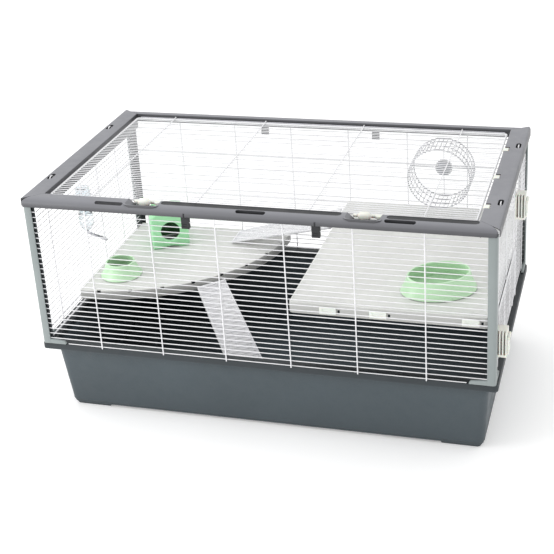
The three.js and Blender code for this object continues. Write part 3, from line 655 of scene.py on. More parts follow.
def socket(x_from, x_to, y, half_length):
    """A closed box that hangs under a slot, so that the slot looks into a dark recess."""
    wall = SOCKET["wall"]
    return one_block((x_from - wall, y - half_length - wall, RAIL_HEIGHT - SOCKET["depth"] - wall),
                     (x_to + wall, y + half_length + wall, RAIL_HEIGHT - RAIL_WALL + 0.1))


def socket_cut(x_from, x_to, y, half_length):
    return upright_slot(x_from, x_to, y, half_length, RAIL_HEIGHT - SOCKET["depth"], RAIL_HEIGHT + 1)


def make_top_frame():
    make_front_rail()
    back_cuts = [
        one_block((-1, -x - BACK_SLOTS["half_length"], BACK_SLOTS["low"]),
                  (RAIL_WALL + 1, -x + BACK_SLOTS["half_length"], BACK_SLOTS["high"]))
        for x in BACK_SLOTS["x"]]
    add_rail("top_rail_back", (0, 1, 0), FRONT_ROUND, back_cuts)
    for name, side in (("top_rail_left", -1), ("top_rail_right", 1)):
        windows = [(*SIDE_WINDOWS["from_inner"], side * y, SIDE_WINDOWS["half_length"])
                   for y in SIDE_WINDOWS["y"]]
        cuts = [socket_cut(*window) for window in windows]
        if side > 0:
            reach = SIDE_NOTCHES["half_length"]
            cuts += [
                one_block((-1, y - reach, RAIL_HEIGHT - SIDE_NOTCHES["drop"]),
                          (SIDE_NOTCHES["depth"], y + reach, RAIL_HEIGHT + 1))
                for y in SIDE_NOTCHES["y"]]
        add_rail(name, (side, 0, 0), SIDE_ROUND, cuts, [socket(*window) for window in windows], SIDE_FLANGE)
    make_groove_shade_strips()
    for row in ("front", "middle", "back"):
        make_lid_guide(f"lid_guide_{row}")


def make_front_rail():
    """The front rail has a recess round each latch, three slots on its round edge and a groove."""
    latch_x = [latch_place(side).x for side in ("left", "right")]
    floor = RAIL_HEIGHT - LATCH_RECESS["height"]
    depth, liner = LATCH_RECESS["depth"], LATCH_RECESS["liner"]
    joins = [recess_block(x, liner, floor - liner, RAIL_HEIGHT - 0.6, depth + liner) for x in latch_x]
    cuts = [recess_block(x, 0, floor, RAIL_HEIGHT + 1, depth) for x in latch_x]
    outer = RAIL_WIDTHS["top_rail_front"]
    near, far = (outer - d for d in reversed(FRONT_SLOTS["from_outer"]))
    for x in FRONT_SLOTS["x"]:
        reach = FRONT_SLOTS["half_length"]
        cuts.append(upright_slot(near, far, x, reach, RAIL_HEIGHT - SOCKET["depth"], RAIL_HEIGHT + 1))
        joins.append(one_block((near - 2, x - reach - 2, SLOT_FLOOR[0]),
                               (outer - 1.5, x + reach + 2, SLOT_FLOOR[1])))
    inset, width = GROOVE["inset"], GROOVE["width"]
    for x0, x1 in GROOVE["spans"]:
        groove = (inset, inset + width, (x0 + x1) / 2, (x1 - x0) / 2)
        joins.append(socket(*groove))
        cuts.append(socket_cut(*groove))
    for side in ("left", "right"):
        x = middle(f"panel_clip_front_{side}").x
        half = CLIP_TONGUE["half_width"] + 0.3
        cuts.append(one_block((outer - 3, x - half, -1), (outer + 1, x + half, CLIP_TONGUE["height"] + 0.3)))
    lips = [f"front_rail_lip_{place}" for place in ("left", "middle", "right")]
    add_rail("top_rail_front", (0, -1, 0), FRONT_ROUND, cuts, joins, replaced=lips)


def make_groove_shade_strips():
    """Dark strips that line the front rail's groove, as painted shade in it."""
    top = box_mm("front_rail_lip_middle")[1]
    shape = Shape()
    for x0, x1 in GROOVE["spans"]:
        near = top.y - GROOVE["inset"]
        shape.block((x0 + 1, near - GROOVE["width"], top.z - GROOVE["strip"]), (x1 - 1, near, top.z - 0.6))
    strips = new_object("groove_shade_strips", shape)
    round_edges(strips, 0.3, segments=1)
    finish_piece(strips, "cage", "black_plastic")


def make_lid_guide(node):
    """A tab that nearly fills its notch."""
    low, high = box_mm(node)
    top = box_mm("top_rail_right")[1].z
    reach = LID_GUIDE_REACH
    y = (low.y + high.y) / 2
    guide = new_object(f"{node}_tab", one_block((low.x, y - reach, low.z), (high.x, y + reach, top - 0.8)))
    round_edges(guide, 0.8, segments=2)
    finish_piece(guide, "cage", "cream_plastic", [node])


# --- corner posts
def make_posts():
    for row, side_y in (("front", -1), ("back", 1)):
        for column, side_x in (("left", -1), ("right", 1)):
            make_post(f"post_{row}_{column}", side_x, side_y)
            if (row, column) != ("front", "right"):
                make_post_channel(f"{row}_{column}", side_x, side_y)


def make_post(name, side_x, side_y):
    """A corner post: a bent strip with a round outer corner, and a foot along each wall."""
    low, high = box_mm(name)
    outer_x = max(abs(low.x), abs(high.x))
    outer_y = max(abs(low.y), abs(high.y))
    size, wall = POST_SIZE, POST_WALL
    corner = (outer_x - POST_ROUND, outer_y - POST_ROUND)
    outline = [(outer_x - size, outer_y)]
    outline += arc(corner, POST_ROUND, 90, 0, 8)
    outline += [(outer_x, outer_y - size), (outer_x - wall, outer_y - size)]
    outline += arc(corner, POST_ROUND - wall, 0, 90, 6)
    outline += [(outer_x - size, outer_y - wall)]
    shape = Shape().prism([(side_x * x, side_y * y) for x, y in outline], low.z, high.z)
    for reach, along_x in ((high.x - low.x, True), (high.y - low.y, False)):
        add_post_foot(shape, side_x, side_y, (outer_x, outer_y), reach, low.z, along_x)
    post = new_object(name.replace("post", "corner_post"), shape)
    round_edges(post, 0.5, segments=2, angle=50)
    finish_piece(post, "cage", "post_plastic", [name])


def make_post_channel(name, side_x, side_y):
    """A strip bent behind the post, so that the wires' ends run in between the two; its dark colour, darker
    than the post's plastic, is painted shade.
    """
    low, high = box_mm(f"post_{name}")
    size = POST_CHANNEL
    wall = size["wall"]
    outer, inner, side, front, back = (size[name] for name in ("outer", "inner", "side", "front", "back"))
    outline = [(outer, front), (inner, front), (inner, front - wall), (side - wall, front - wall),
               (side - wall, back), (side, back), (side, front - wall), (outer, front - wall)]
    shape = Shape().prism([(side_x * x, side_y * y) for x, y in outline], low.z + 1, high.z - 1)
    channel = new_object(f"post_channel_{name}", shape)
    round_edges(channel, 0.5)
    finish_piece(channel, "cage", "tray_plastic")


def add_post_foot(shape, side_x, side_y, outer, reach, floor, along_x):
    """A wedge that runs from the post along a wall and holds the panel's lowest wire."""
    near, height = POST_FOOT["near"], POST_FOOT["height"]
    profile = [(near, 0), (reach - 2, 0), (reach, 1.5), (reach - 4, 7.5), (14, height), (near, height)]
    loops = []
    for depth in POST_FOOT["depths"]:
        loop = []
        for a, z in profile:
            from_x, from_y = (a, depth) if along_x else (depth, a)
            loop.append((side_x * (outer[0] - from_x), side_y * (outer[1] - from_y), floor + z))
        loops.append(loop)
    shape.loft(loops)


# --- wire panels
def make_front_and_back_wires():
    for name, side in (("front", -1), ("back", 1)):
        low, high = box_mm(f"{name}_grille")
        plane = side * FRONT_WIRES["y"]
        reach = FRONT_WIRES["reach"]
        shape = Shape()
        for z in spread(low.z + 2, high.z + 1, PANEL_GAPS + 1):
            inset = FRONT_WIRES["lowest_inset"] if z < low.z + 8 else 0
            shape.rod((-reach + inset, plane, z), (reach - inset, plane, z), FINE_WIRE)
        for x in FRONT_COLUMNS:
            outside = plane + side * WIRES_APART
            shape.rod((x, outside, low.z - 2), (x, outside, high.z + 12), STOUT_WIRE)
        make_piece(f"{name}_wires", shape, "cage", "white_wire", [f"{name}_grille"])


def side_rows(node):
    low, high = box_mm(node)
    return spread(low.z + 1.6, high.z - 1.6, PANEL_GAPS + 1)


def door_spans(node):
    """A door's leaf, as its least and greatest y and z."""
    low, high = box_mm(node)
    return low.y, high.y, low.z, high.z


def make_left_wires():
    plane = middle("left_grille").x
    shape = Shape()
    rows = side_rows("left_grille")
    add_side_wires(shape, plane, -1, rows, LEFT_COLUMNS, [])
    for z in (rows[0], rows[2]):
        shape.rod((plane + 2, 4 - SIDE_WIRE_REACH, z), (plane + 2, SIDE_WIRE_REACH - 4, z), STOUT_WIRE)
    make_piece("left_wires", shape, "cage", "white_wire", ["left_grille"])


def add_side_wires(shape, plane, side, rows, columns, openings):
    """Fine wires along y and stout ones up the outside; nothing crosses an opening."""
    reach = SIDE_WIRE_REACH
    outside = plane + side * WIRES_APART
    for z in rows:
        cuts = sorted((y0, y1) for y0, y1, z0, z1 in openings if z0 < z < z1)
        start = -reach
        for y0, y1 in cuts + [(reach, reach)]:
            shape.rod((plane, start, z), (plane, y0, z), FINE_WIRE)
            start = y1
    for y in columns:
        cuts = sorted((z0, z1) for y0, y1, z0, z1 in openings if y0 < y < y1)
        start = rows[0] - 4
        for z0, z1 in cuts + [(rows[-1] + 8, rows[-1] + 8)]:
            shape.rod((outside, y, start), (outside, y, z0), STOUT_WIRE)
            start = z1
    for y in SIDE_WINDOWS["y"]:
        add_wire_loop(shape, plane, y, rows[-1])


def add_wire_loop(shape, plane, y, bottom):
    """A bent wire that stands up through the rail's window and holds the panel to it."""
    top = box_mm("top_rail_front")[1].z
    reach = WINDOW_LOOP
    bend = [(plane, y + a, top - reach + 1 + b) for a, b in arc((0, 0), reach, 0, 180, 12)]
    shape.tube([(plane, y + reach, bottom - 6)] + bend + [(plane, y - reach, bottom - 6)], STOUT_WIRE)


def make_right_wires():
    plane = middle("right_grille").x
    openings = []
    for name in ("lower", "upper"):
        y0, y1, z0, z1 = door_spans(f"side_door_{name}")
        lap = DOOR["lap"]
        openings.append((y0 + lap, y1 - lap, z0 + lap, z1 - lap))
    shape = Shape()
    add_side_wires(shape, plane, 1, side_rows("right_grille"), RIGHT_COLUMNS, openings)
    for y0, y1, z0, z1 in openings:
        border = [(plane, y0, z0), (plane, y1, z0), (plane, y1, z1), (plane, y0, z1)]
        for start, end in zip(border, border[1:] + border[:1]):
            shape.rod(start, end, STOUT_WIRE)
    make_piece("right_wires", shape, "cage", "white_wire", ["right_grille"])


def wire_border(x0, x1, y0, y1, corner, inset, steps):
    """A rectangle with rounded corners, drawn in by inset, as points in its own plane."""
    border = []
    for x, y, start in ((x1 - corner, y1 - corner, 0), (x0 + corner, y1 - corner, 90),
                        (x0 + corner, y0 + corner, 180), (x1 - corner, y0 + corner, 270)):
        border += arc((x, y), corner - inset, start, start + 90, steps)
    return border


def make_side_door(name):
    node = f"side_door_{name}"
    y0, y1, z0, z1 = door_spans(node)
    plane = middle(node).x
    border = [(plane, y, z) for y, z in wire_border(y0, y1, z0, z1, DOOR["corner"], STOUT_WIRE, 5)]
    shape = Shape().tube(border, STOUT_WIRE, closed=True)
    rows = round((z1 - z0) / DOOR["row_pitch"])
    for z in spread(z0 + 1.4, z1 - 1.4, rows + 1)[1:-1]:
        shape.rod((plane - 0.4, y0 + 1, z), (plane - 0.4, y1 - 1, z), FINE_WIRE)
    uprights = max(2, round((y1 - y0) / DOOR["upright_pitch"]))
    for y in spread(y0, y1, uprights + 1)[1:-1]:
        shape.rod((plane, y, z0 + 1), (plane, y, z1 - 1), STOUT_WIRE)
    for z in (z0 + DOOR["eye_inset"], z1 - DOOR["eye_inset"]):
        ring = [(plane - 2 + 4 * cos(a), y1 - 1.5 + 3 * sin(a), z) for a in turns(14)]
        shape.tube(ring, FINE_WIRE, closed=True)
    make_piece(f"side_door_{name}_wires", shape, node, "white_wire", [node])


# --- side latches
def make_latch_housing(name):
    """A block on the wall with upright channels between its ribs."""
    node = f"side_latch_housing_{name}"
    low, high = box_mm(node)
    housing = new_object(f"side_latch_{name}_housing", one_block(low, high))
    channels = SIDE_LATCH["channels"]
    pitch = (high.x - low.x) / (2 * channels + 1)
    for i in range(channels):
        x = low.x + (2 * i + 1) * pitch
        combine(housing, one_block((x, low.y - 1, low.z + 5), (x + pitch, low.y + 9, high.z + 1)))
    round_edges(housing, 0.8, segments=2)
    finish_piece(housing, "cage", "cream_plastic", [node])


def make_latch_slider(name):
    """A plate that slides up, with a lip to lift it by and grooves across it."""
    node = f"side_latch_slider_{name}"
    low, high = box_mm(node)
    plate = low.x + SIDE_LATCH["plate"]
    profile = [(low.x, low.z), (plate, low.z), (plate, high.z - 9), (high.x, high.z - 4),
               (high.x, high.z - 1.5), (high.x - 1.5, high.z), (low.x, high.z)]
    shape = Shape().loft([[(x, y, z) for x, z in profile] for y in (low.y, high.y)])
    slider = new_object(f"side_latch_{name}_slider", shape)
    for i in range(SIDE_LATCH["grooves"]):
        z = low.z + 8 + 6 * i
        combine(slider, one_block((plate - 0.8, low.y + 5, z), (plate + 1, high.y - 5, z + 2.5)))
    round_edges(slider, 0.7, segments=2)
    finish_piece(slider, f"side_latch_{name}", "cream_plastic", [node])


# --- lid
def make_lid():
    low, high = box_mm("lid_grille")
    z = (low.z + high.z) / 2
    rod = middle("lid_hinge_rod")
    shape = Shape()
    edge = EDGE_WIRE
    rows = spread(low.y + edge, high.y - edge, LID["gaps"] + 1)
    for y in rows[1:-1]:
        shape.rod((low.x + 1, y, z), (high.x - 1, y, z), FINE_WIRE)
    border = [(x, y, z) for x, y in wire_border(low.x, high.x, low.y, high.y, LID["corner"], edge, 6)]
    shape.tube(border, edge, sides=10, closed=True)
    for x in LID_COLUMNS:
        above = z + FINE_WIRE + 0.6
        hook = [(x, a, b) for a, b in arc((rod.y, z), LID["hook"], 100, -150, 11)]
        shape.tube([(x, low.y + 1, above), (x, rod.y - 8, above)] + hook, STOUT_WIRE * 0.9)
    make_piece("lid_wires", shape, "lid", "white_wire", ["lid_grille"])


def latch_place(side):
    """The middle of a lid latch's knob, whose arm only reaches to the right."""
    low, high = box_mm(f"lid_latch_{side}")
    return Vector((low.x + KNOB["half_x"], (low.y + high.y) / 2, (low.z + high.z) / 2))


def squarish(share):
    """A sine or cosine that stays nearer to 1, so that a circle turns into a rounded square."""
    return abs(share) ** 0.8 * copysign(1, share)


def knob_shape(x, y_mid, z_mid):
    loops = []
    for t in spread(-1, 1, 13):
        swell = sqrt(max(0.05, 1 - abs(t) ** 2.6))
        loops.append([
            (x + KNOB["half_x"] * t, y_mid + KNOB["half_y"] * swell * squarish(c),
             z_mid + KNOB["half_z"] * swell * squarish(s))
            for c, s, _ in circle(1, 0, 20)])
    return Shape().loft(loops)


def latch_arm(x, high):
    """A sleeve round the lid's front wire, a block up to the knob, and a wing and a tail beside it."""
    y, z = high.y - 3.8, LATCH_ARM["z"]
    sleeve = [(along, y, z) for along in (x - 25, high.x - 4, high.x - 0.5)]
    arm = Shape().tube(sleeve, LATCH_ARM["radius"], sides=16).block((x - 9, y - 7, z - 3), (x + 9, y, z + 3))
    end = high.x - x - 2
    wing = LATCH_WING + [(end, -3), (end, 1), (19, 1)]
    for outline, top in ((wing, 4.4), (LATCH_TAIL, 3.6)):
        arm.prism([(x + dx, y + dy) for dx, dy in outline], z - 1, z + top)
    return arm


def make_lid_latch(side):
    """A soft-edged thumb knob and its arm."""
    node = f"lid_latch_{side}"
    low, high = box_mm(node)
    x = latch_place(side).x
    knob = new_object(f"{node}_knob", knob_shape(x, low.y + KNOB["from_front"], (low.z + high.z) / 2))
    combine(knob, latch_arm(x, high), "UNION")
    round_edges(knob, 0.6, segments=2, angle=50)
    finish_piece(knob, node, "cream_plastic", [node])


# --- small parts of the cage
def make_panel_clip(node):
    low, high = box_mm(node)
    clip = new_object(node.replace("panel_clip", "black_clip"), one_block(low, high))
    x = middle(node).x
    half = PANEL_CLIP["groove_half"]
    for height in PANEL_CLIP["grooves"]:
        z = low.z + height
        combine(clip, one_block((x - half, low.y - 1, z), (x + half, low.y + 0.8, z + 2)))
    if node.startswith("panel_clip_front"):
        half, outer = CLIP_TONGUE["half_width"], box_mm("top_rail_front")[0].y
        near, top = outer + 0.3, high.z + CLIP_TONGUE["height"]
        combine(clip, one_block((x - half, near, high.z - 1), (x + half, outer + 2.8, top)), "UNION")
        combine(clip, one_block((x - half, near, high.z - 2), (x + half, low.y + 1, high.z)), "UNION")
    round_edges(clip, 1.0, segments=3)
    finish_piece(clip, "cage", "black_plastic", [node])


# --- platforms
def quarter_ellipse(corner, reach_x, reach_y, z, steps=48):
    """The outline of a quarter ellipse whose square corner is at the back left."""
    curve = []
    for a in [radians(v) for v in spread(-90, 0, steps + 1)]:
        curve.append((corner[0] + reach_x * cos(a), corner[1] + reach_y * sin(a), z))
    return [(corner[0], corner[1], z)] + curve


def make_left_platform():
    low, high = box_mm("left_platform")
    corner = (low.x, high.y)
    reach_x, reach_y = high.x - low.x, high.y - low.y
    wall = PLATFORM_WALL

    def ring(inset, z):
        return quarter_ellipse((corner[0] + inset * 0.3, corner[1] - inset * 0.3),
                               reach_x - inset, reach_y - inset, z)

    shape = Shape()
    shape.loft([
        ring(9, high.z - wall), ring(wall + 1, high.z - wall - 0.4), ring(wall, high.z - wall - 1.5),
        ring(wall, low.z), ring(0.4, low.z), ring(0, low.z + 0.5), ring(0, high.z - 2.4),
        ring(0.6, high.z - 0.9), ring(2.2, high.z - 0.1), ring(6, high.z), ring(7, high.z - 0.5),
        ring(30, high.z - 0.5),
    ])
    platform = new_object("platform_left", shape)
    holes = Shape()
    for i in range(PLATFORM_HOLES["count"]):
        t = radians(PLATFORM_HOLES["first"] + PLATFORM_HOLES["step"] * i)
        point = Vector((corner[0] + reach_x * cos(t), corner[1] + reach_y * sin(t), high.z))
        normal = Vector((cos(t) / reach_x, sin(t) / reach_y, 0)).normalized()
        tangent = Vector((-normal.y, normal.x, 0))
        half, tall = PLATFORM_HOLES["width"] / 2, PLATFORM_HOLES["height"]
        holes.block((-5.5, -half, -1.2 - tall), (3, half, 1), place=frame_of(point, normal, tangent))
    combine(platform, holes)
    finish_piece(platform, "cage", "platform_plastic", ["left_platform"])


def make_right_platform():
    low, high = box_mm("right_platform")
    centre = (low + high) / 2
    half_x, half_y = (high.x - low.x) / 2, (high.y - low.y) / 2
    place = Matrix.Translation((centre.x, centre.y, 0))
    wall = PLATFORM_WALL

    def ring(inset, z):
        return rounded_rectangle(half_x - inset, half_y - inset, max(1, 8 - inset), z, steps=5)

    shape = Shape()
    shape.loft([
        ring(wall + 4, high.z - wall), ring(wall, high.z - wall - 1.5), ring(wall, low.z),
        ring(0.4, low.z), ring(0, low.z + 0.6), ring(0, high.z - 2.2), ring(0.7, high.z - 0.8),
        ring(2.2, high.z - 0.1), ring(5, high.z), ring(6, high.z - 0.5), ring(20, high.z - 0.5),
    ], place=place)
    platform = new_object("platform_right", shape)
    for side in ("left", "middle", "right"):
        clip = middle(f"platform_clip_{side}")
        near, far = (clip.x + x for x in PLATFORM_CLIP["slot"])
        combine(platform, one_block((near, low.y - 1, clip.z - 6), (far, low.y + 6, clip.z + 2)))
    finish_piece(platform, "cage", "platform_plastic", ["right_platform"])
    for side in ("left", "middle", "right"):
        make_platform_clip(f"platform_clip_{side}")


def make_platform_clip(node):
    low, high = box_mm(node)
    clip = new_object(f"{node}_hook", one_block(low, high))
    x, _, z = middle(node)
    half = PLATFORM_CLIP["groove_half"]
    combine(clip, one_block((x - half, low.y - 1, z - 3), (x + half, low.y + 1, z + 3)))
    round_edges(clip, 0.7, segments=2)
    finish_piece(clip, "cage", "cream_plastic", [node])


# --- ramps
def make_ramp(node, hinge, foot, top_width, foot_width, skew, ribs):
    """A tapering lattice plate: two side bars, close ribs across and fine bars lengthwise."""
    hinge, down = Vector(hinge), Vector(foot) - Vector(hinge)
    length = down.length
    heading = down.normalized()
    across = Vector((0, 0, 1)).cross(heading).normalized()
    normal = heading.cross(across)
    place = Matrix.Translation(hinge) @ Matrix((heading, across, normal)).transposed().to_4x4()

    def edges(x):
        half = (top_width + (foot_width - top_width) * x / length) / 2
        centre = -skew * x / length
        return centre - half, centre + half

    def slab(shape, x0, x1, share0, share1, z0, z1):
        """A bar between two places along the ramp and two shares of its width."""
        loops = []
        for z in (z0, z1):
            outline = []
            for x, share in ((x0, share0), (x1, share0), (x1, share1), (x0, share1)):
                first, last = edges(x)
                outline.append((x, first + (last - first) * share, z))
            loops.append(outline)
        shape.loft(loops, place=place)

    shape = Shape()
    slab(shape, 0, length, 0, 1, 0, 1.6)
    slab(shape, 0, length, 0, 0.045, 0, 4.8)
    slab(shape, 0, length, 0.955, 1, 0, 4.8)
    slab(shape, 0, 5, 0, 1, 0, 4)
    slab(shape, length - 5, length, 0, 1, 0, 4)
    for x in spread(0, length, ribs + 2)[1:-1]:
        slab(shape, x - 1.3, x + 1.3, 0.03, 0.97, 1, 2.6)
    for share in spread(0, 1, 8)[1:-1]:
        slab(shape, 2, length - 2, share - 0.006, share + 0.006, 1, 2.2)
    make_piece(f"{node}_lattice", shape, node, "ramp_plastic", [node])


# --- running wheel
def make_wheel():
    low, high = box_mm("wheel_drum")
    centre = (low + high) / 2
    radius = (high.x - low.x) / 2
    place = Matrix.Translation((centre.x, low.y, centre.z)) @ Matrix.Rotation(radians(-90), 4, "X")
    depth = high.y - low.y
    shape = Shape()

    def ring(r, z, wire, sides=72):
        shape.tube(circle(r, z, sides), wire, closed=True, place=place)

    rim_wire, wire = WHEEL["rim_wire"], WHEEL["wire"]
    for z in (rim_wire, depth - rim_wire):
        ring(radius - rim_wire, z, rim_wire)
    for z in spread(0, depth, 4)[1:-1]:
        ring(radius - 1.3, z, wire)
    for x, y, z in circle(radius - 3, 1, WHEEL["bars"]):
        shape.rod((x, y, z), (x, y, depth - z), wire, sides=6, place=place)
    inner, outer = WHEEL["collar"]
    spoke_ends = zip(circle(inner + 2, depth - 3.8, WHEEL["spokes"]),
                     circle(radius - 2, depth - 2.2, WHEEL["spokes"]))
    for start, end in spoke_ends:
        shape.rod(start, end, WHEEL["spoke_wire"], place=place)
    shape.lathe([(inner, depth - 6), (outer, depth - 6), (outer, depth - 2), (inner, depth - 2)],
                closed=True, place=place)
    make_piece("wheel_wires", shape, "wheel", "steel", ["wheel_drum"])
    make_wheel_hub(place, low.y)


def make_wheel_hub(place, front):
    low, high = box_mm("wheel_hub")
    r = (high.x - low.x) / 2 - 0.1  # just inside the hub's own box
    z0, z1 = low.y - front, high.y - front
    shape = Shape().lathe([
        (4.5, z0 + 1), (5.5, z0), (r - 2.5, z0), (r - 0.6, z0 + 1.2), (r, z0 + 3), (r, z1 - 9),
        (r - 1.3, z1 - 8), (r - 1.3, z1 - 6), (r, z1 - 5), (r, z1 - 0.6), (r - 0.5, z1), (4.5, z1),
    ], closed=True, place=place)
    make_piece("wheel_hub_turned", shape, "wheel", "hub_plastic", ["wheel_hub"])
    low, high = box_mm("wheel_axle")
    z0, z1 = low.y - front, high.y - front
    profile = [(0.5, z0), (2.6, z0), (3.8, z0 + 1), (3.9, z0 + 2.5), (3.9, z1 - 1), (3.2, z1), (0.5, z1)]
    shape = Shape().lathe(profile, sides=32, place=place)
    make_piece("wheel_axle_turned", shape, "cage", "steel", ["wheel_axle"])


# --- water bottle
def make_bottle():
    """The bottle hangs upside down in a wire ring on the left wall, its cap and spout below."""
    centre = middle("bottle_body")
    place = Matrix.Translation((centre.x, centre.y, 0))
    make_bottle_body(place)
    make_bottle_cap(place)
    make_spout(centre)
    make_bottle_ring(centre)


def make_bottle_body(place):
    low, high = box_mm("bottle_body")
    r = (high.x - low.x) / 2
    neck, top = low.z, high.z
    bore, collar = BOTTLE_NECK
    profile = [
        (0.5, top - 1.2), (8, top - 1.2), (r - 3, top - 1.6), (r - 1.6, top - 5), (r - 1.6, neck + 12),
        (bore, neck + 4), (bore, neck), (collar, neck), (collar, neck + 3.4), (r - 1, neck + 9),
        (r, neck + 13), (r, top - 6), (r - 1.6, top - 1.2), (r - 5, top), (0.5, top),
    ]
    make_piece("bottle_shell", Shape().lathe(profile, place=place), "cage", "clear_plastic", ["bottle_body"])


def make_bottle_cap(place):
    """A shouldered cap, with ribs round its widest part."""
    low, high = box_mm("bottle_cap")
    loops = []
    for share, z in ((0.03, low.z), (0.5, low.z), (0.62, low.z + 2), (0.95, low.z + 11), (1, low.z + 13),
                     (1, high.z - 1.2), (0.96, high.z), (0.03, high.z)):
        radius = share * BOTTLE_CAP["radius"]
        ring = circle(radius, z, BOTTLE_CAP["sides"])
        if share > 0.94:
            ring[::3] = circle(radius - BOTTLE_CAP["rib"], z, BOTTLE_CAP["sides"])[::3]
        loops.append(ring)
    cap = Shape().loft(loops, place=place)
    make_piece("bottle_cap_ribbed", cap, "cage", "clear_plastic", ["bottle_cap"])


def make_bottle_ring(centre):
    """A ring round the bottle, with two wires that reach to the wall."""
    low, high = box_mm("bottle_hanger")
    height, wire = (low.z + high.z) / 2, BOTTLE_RING["wire"]
    radius = (high.y - low.y) / 2 - 1
    ring = [(centre.x + x, centre.y + y, z) for x, y, z in circle(radius, height, 48)]
    shape = Shape().tube(ring, wire, closed=True)
    for side in (-1, 1):
        y = centre.y + side * BOTTLE_RING["half_gap"]
        shape.rod((centre.x + radius - 3, y, height), (BOTTLE_RING["end_x"], y, height), wire)
    make_piece("bottle_ring", shape, "cage", "white_wire", ["bottle_hanger"])


def make_spout(centre):
    """A bent steel tube with a rolled end."""
    low, high = box_mm("bottle_spout")
    bend = [Vector((centre.x + x, centre.y, high.z - drop)) for x, drop in SPOUT["bend"]]
    end = Vector((high.x - 3, centre.y, low.z + 4.4))
    spout = new_object("spout_tube", Shape().tube(bend + [end], SPOUT["radius"], sides=20))
    heading = (end - bend[-1]).normalized()
    collar = [end - heading * back for back in (5, 4, 2, 1)]
    combine(spout, Shape().tube(collar, SPOUT["collar"], sides=20), "UNION")
    finish_piece(spout, "cage", "steel", ["bottle_spout"])


# --- house and bowls
def turned_place(node, sizes):
    """A placing on the floor of a node, turned about the vertical."""
    floor = box_mm(node)[0].z
    turn = Matrix.Rotation(radians(sizes["turn"]), 4, "Z")
    return Matrix.Translation((sizes["x"], sizes["y"], floor)) @ turn


def make_house():
    place = turned_place("house", HOUSE)
    front, wall = HOUSE["depth"] / 2, HOUSE["wall"]

    def arch(inset, bottom):
        half, height = HOUSE["width"] / 2 - inset, HOUSE["height"] - inset
        rounding = HOUSE["round"] - inset
        return ([(-half, bottom), (half, bottom)]
                + arc((half - rounding, height - rounding), rounding, 0, 90, 8)
                + arc((rounding - half, height - rounding), rounding, 90, 180, 8))

    def vault(bottom, sections):
        """An arched tunnel along y, its sections given as y and how far they are drawn in."""
        loops = [[(x, y, z) for x, z in arch(inset, bottom)] for y, inset in sections]
        return Shape().loft(loops, place=place)

    house = new_object("house_shell", vault(0, [
        (-front, 4), (1.2 - front, 1.4), (4 - front, 0), (front - 4, 0), (front - 1.2, 1.4), (front, 4)]))
    combine(house, vault(-2, [
        (wall - front, 5), (5 - front, wall), (front - 5, wall), (front - wall, 5)]))
    lying = place @ Matrix.Rotation(radians(90), 4, "X")
    for opening, sides in ((HOUSE_DOOR, 48), (HOUSE_ARCH, 64)):
        outline = [(x, y + opening["height"]) for x, y, _ in circle(opening["radius"], 0, sides)]
        combine(house, Shape().prism(outline, front - 8, front + 4, place=lying))
    for side in (-1, 1):
        vents = Shape()
        for y in HOUSE_VENTS["y"]:
            half = HOUSE_VENTS["half_width"]
            vents.block((side * 40, y - half, HOUSE_VENTS["low"]),
                        (side * 52, y + half, HOUSE_VENTS["high"]), place=place)
        combine(house, vents)
    round_edges(house, 0.7, segments=2, angle=45)
    finish_piece(house, "house", "house_plastic", ["house"], slot="mint_plastic")


def bowl_profile(base, rim, height, wall):
    """From the middle of the underside out, up the outside, over the rolled rim and back to the middle."""
    return [
        (1, 1.6), (base - 7, 1.6), (base - 5, 0), (base - 1, 0), (base, 0.8), (base - 0.3, 3),
        (rim + (base - rim) * 0.62, height * 0.3), (rim + (base - rim) * 0.25, height * 0.65),
        (rim + 1.2, height - 4), (rim + 1, height - 1.4), (rim, height - 0.2), (rim - wall + 0.8, height),
        (rim - wall - 0.2, height - 1.2), (rim - wall - 0.4, height - 4),
        (rim - wall, height * 0.45), (rim - wall - 3, height * 0.2), (rim - wall - 9, wall + 2.4),
        (rim - wall - 18, wall + 1.8), (1, wall + 1.8),
    ]


def make_small_bowl():
    low, high = box_mm("small_bowl")
    centre = (low + high) / 2
    profile = bowl_profile((high.x - low.x) / 2, SMALL_BOWL["rim"], high.z - low.z, SMALL_BOWL["wall"])
    shape = Shape().lathe(profile, sides=64, place=Matrix.Translation((centre.x, centre.y, low.z)))
    make_piece("small_bowl_moulded", shape, "small_bowl", "mint_plastic", ["small_bowl"])


def make_oval_bowl():
    size = OVAL_BOWL
    loops = []
    for r, z in bowl_profile(size["base"], size["rim"], size["height"], size["wall"]):
        loops.append([
            (r * cos(a), r * size["narrow"] * sin(a),
             z * (1 + size["tilt"] * r * cos(a) / size["base"]))
            for a in turns(80)])
    shape = Shape().loft(loops, place=turned_place("oval_bowl", size))
    make_piece("oval_bowl_moulded", shape, "oval_bowl", "mint_plastic", ["oval_bowl"])


def make_hinge_rod():
    low, high = box_mm("lid_hinge_rod")
    _, y, z = (low + high) / 2
    radius = (high.z - low.z) / 2 * 0.97
    shape = Shape().rod((low.x, y, z), (high.x, y, z), radius, sides=16)
    make_piece("hinge_rod", shape, "cage", "steel", ["lid_hinge_rod"])


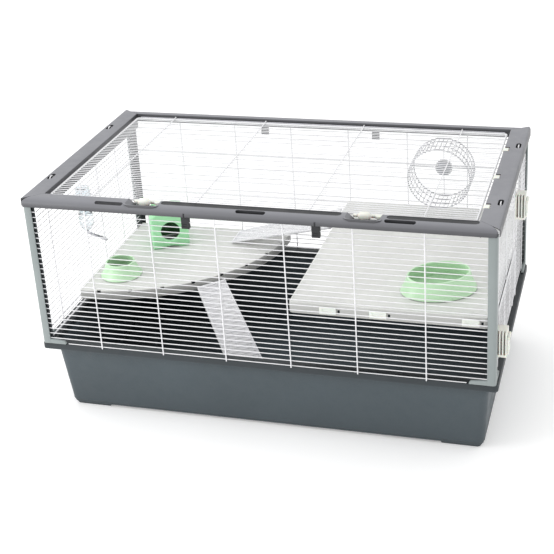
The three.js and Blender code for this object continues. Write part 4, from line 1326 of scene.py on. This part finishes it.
# --- studio
def make_camera():
    azimuth, elevation = radians(CAMERA["azimuth"]), radians(CAMERA["elevation"])
    forward = Vector((-sin(azimuth) * cos(elevation),
                      cos(azimuth) * cos(elevation), -sin(elevation)))
    data = bpy.data.cameras.new("camera")
    data.lens = CAMERA["lens"]
    data.shift_x, data.shift_y = CAMERA["shift_x"], CAMERA["shift_y"]
    rotation = forward.to_track_quat("-Z", "Y") @ Quaternion((0, 0, 1), radians(CAMERA["roll"]))
    bpy.context.scene.camera = add_to_scene("camera", data, CAMERA["place"], rotation)


def make_floor():
    half = FLOOR["half"]
    floor = new_object("floor", one_block((-half, -half, -FLOOR["thickness"]), (half, half, 0)))
    nodes = Nodes("floor_paint")
    nodes.feed("Base Color", nodes.ramp(nodes.noise(2, detail=2), *FLOOR["tones"]))
    nodes.setting("Emission Color", (1, 1, 1, 1))
    nodes.setting("Emission Strength", FLOOR["glow"])
    nodes.setting("Roughness", FLOOR["roughness"])
    floor.data.materials.append(nodes.material)


def add_softbox(name, place, aim, size, power):
    data = bpy.data.lights.new(name, "AREA")
    data.shape = "RECTANGLE"
    data.size, data.size_y = size
    data.energy = power
    add_to_scene(name, data, place, (Vector(aim) - Vector(place)).to_track_quat("-Z", "Y"))


def make_studio():
    world = bpy.data.worlds.new("studio")
    world.use_nodes = True
    background = world.node_tree.nodes["Background"]
    background.inputs["Color"].default_value = (1, 1, 1, 1)
    background.inputs["Strength"].default_value = 1.0
    bpy.context.scene.world = world
    bpy.context.scene.view_settings.view_transform = "Standard"
    for name, settings in SOFTBOXES.items():
        add_softbox(name, **settings)


# --- assembly
make_camera()
make_floor()
make_studio()
make_tray()
make_top_frame()
make_posts()
make_front_and_back_wires()
make_left_wires()
make_right_wires()
for door in ("lower", "upper"):
    make_side_door(door)
    make_latch_housing(door)
    make_latch_slider(door)
make_lid()
make_hinge_rod()
for side in ("left", "right"):
    make_lid_latch(side)
    for row in ("front", "back"):
        make_panel_clip(f"panel_clip_{row}_{side}")
make_left_platform()
make_right_platform()
for ramp, sizes in RAMPS.items():
    make_ramp(ramp, **sizes)
make_wheel()
make_bottle()
make_house()
make_small_bowl()
make_oval_bowl()
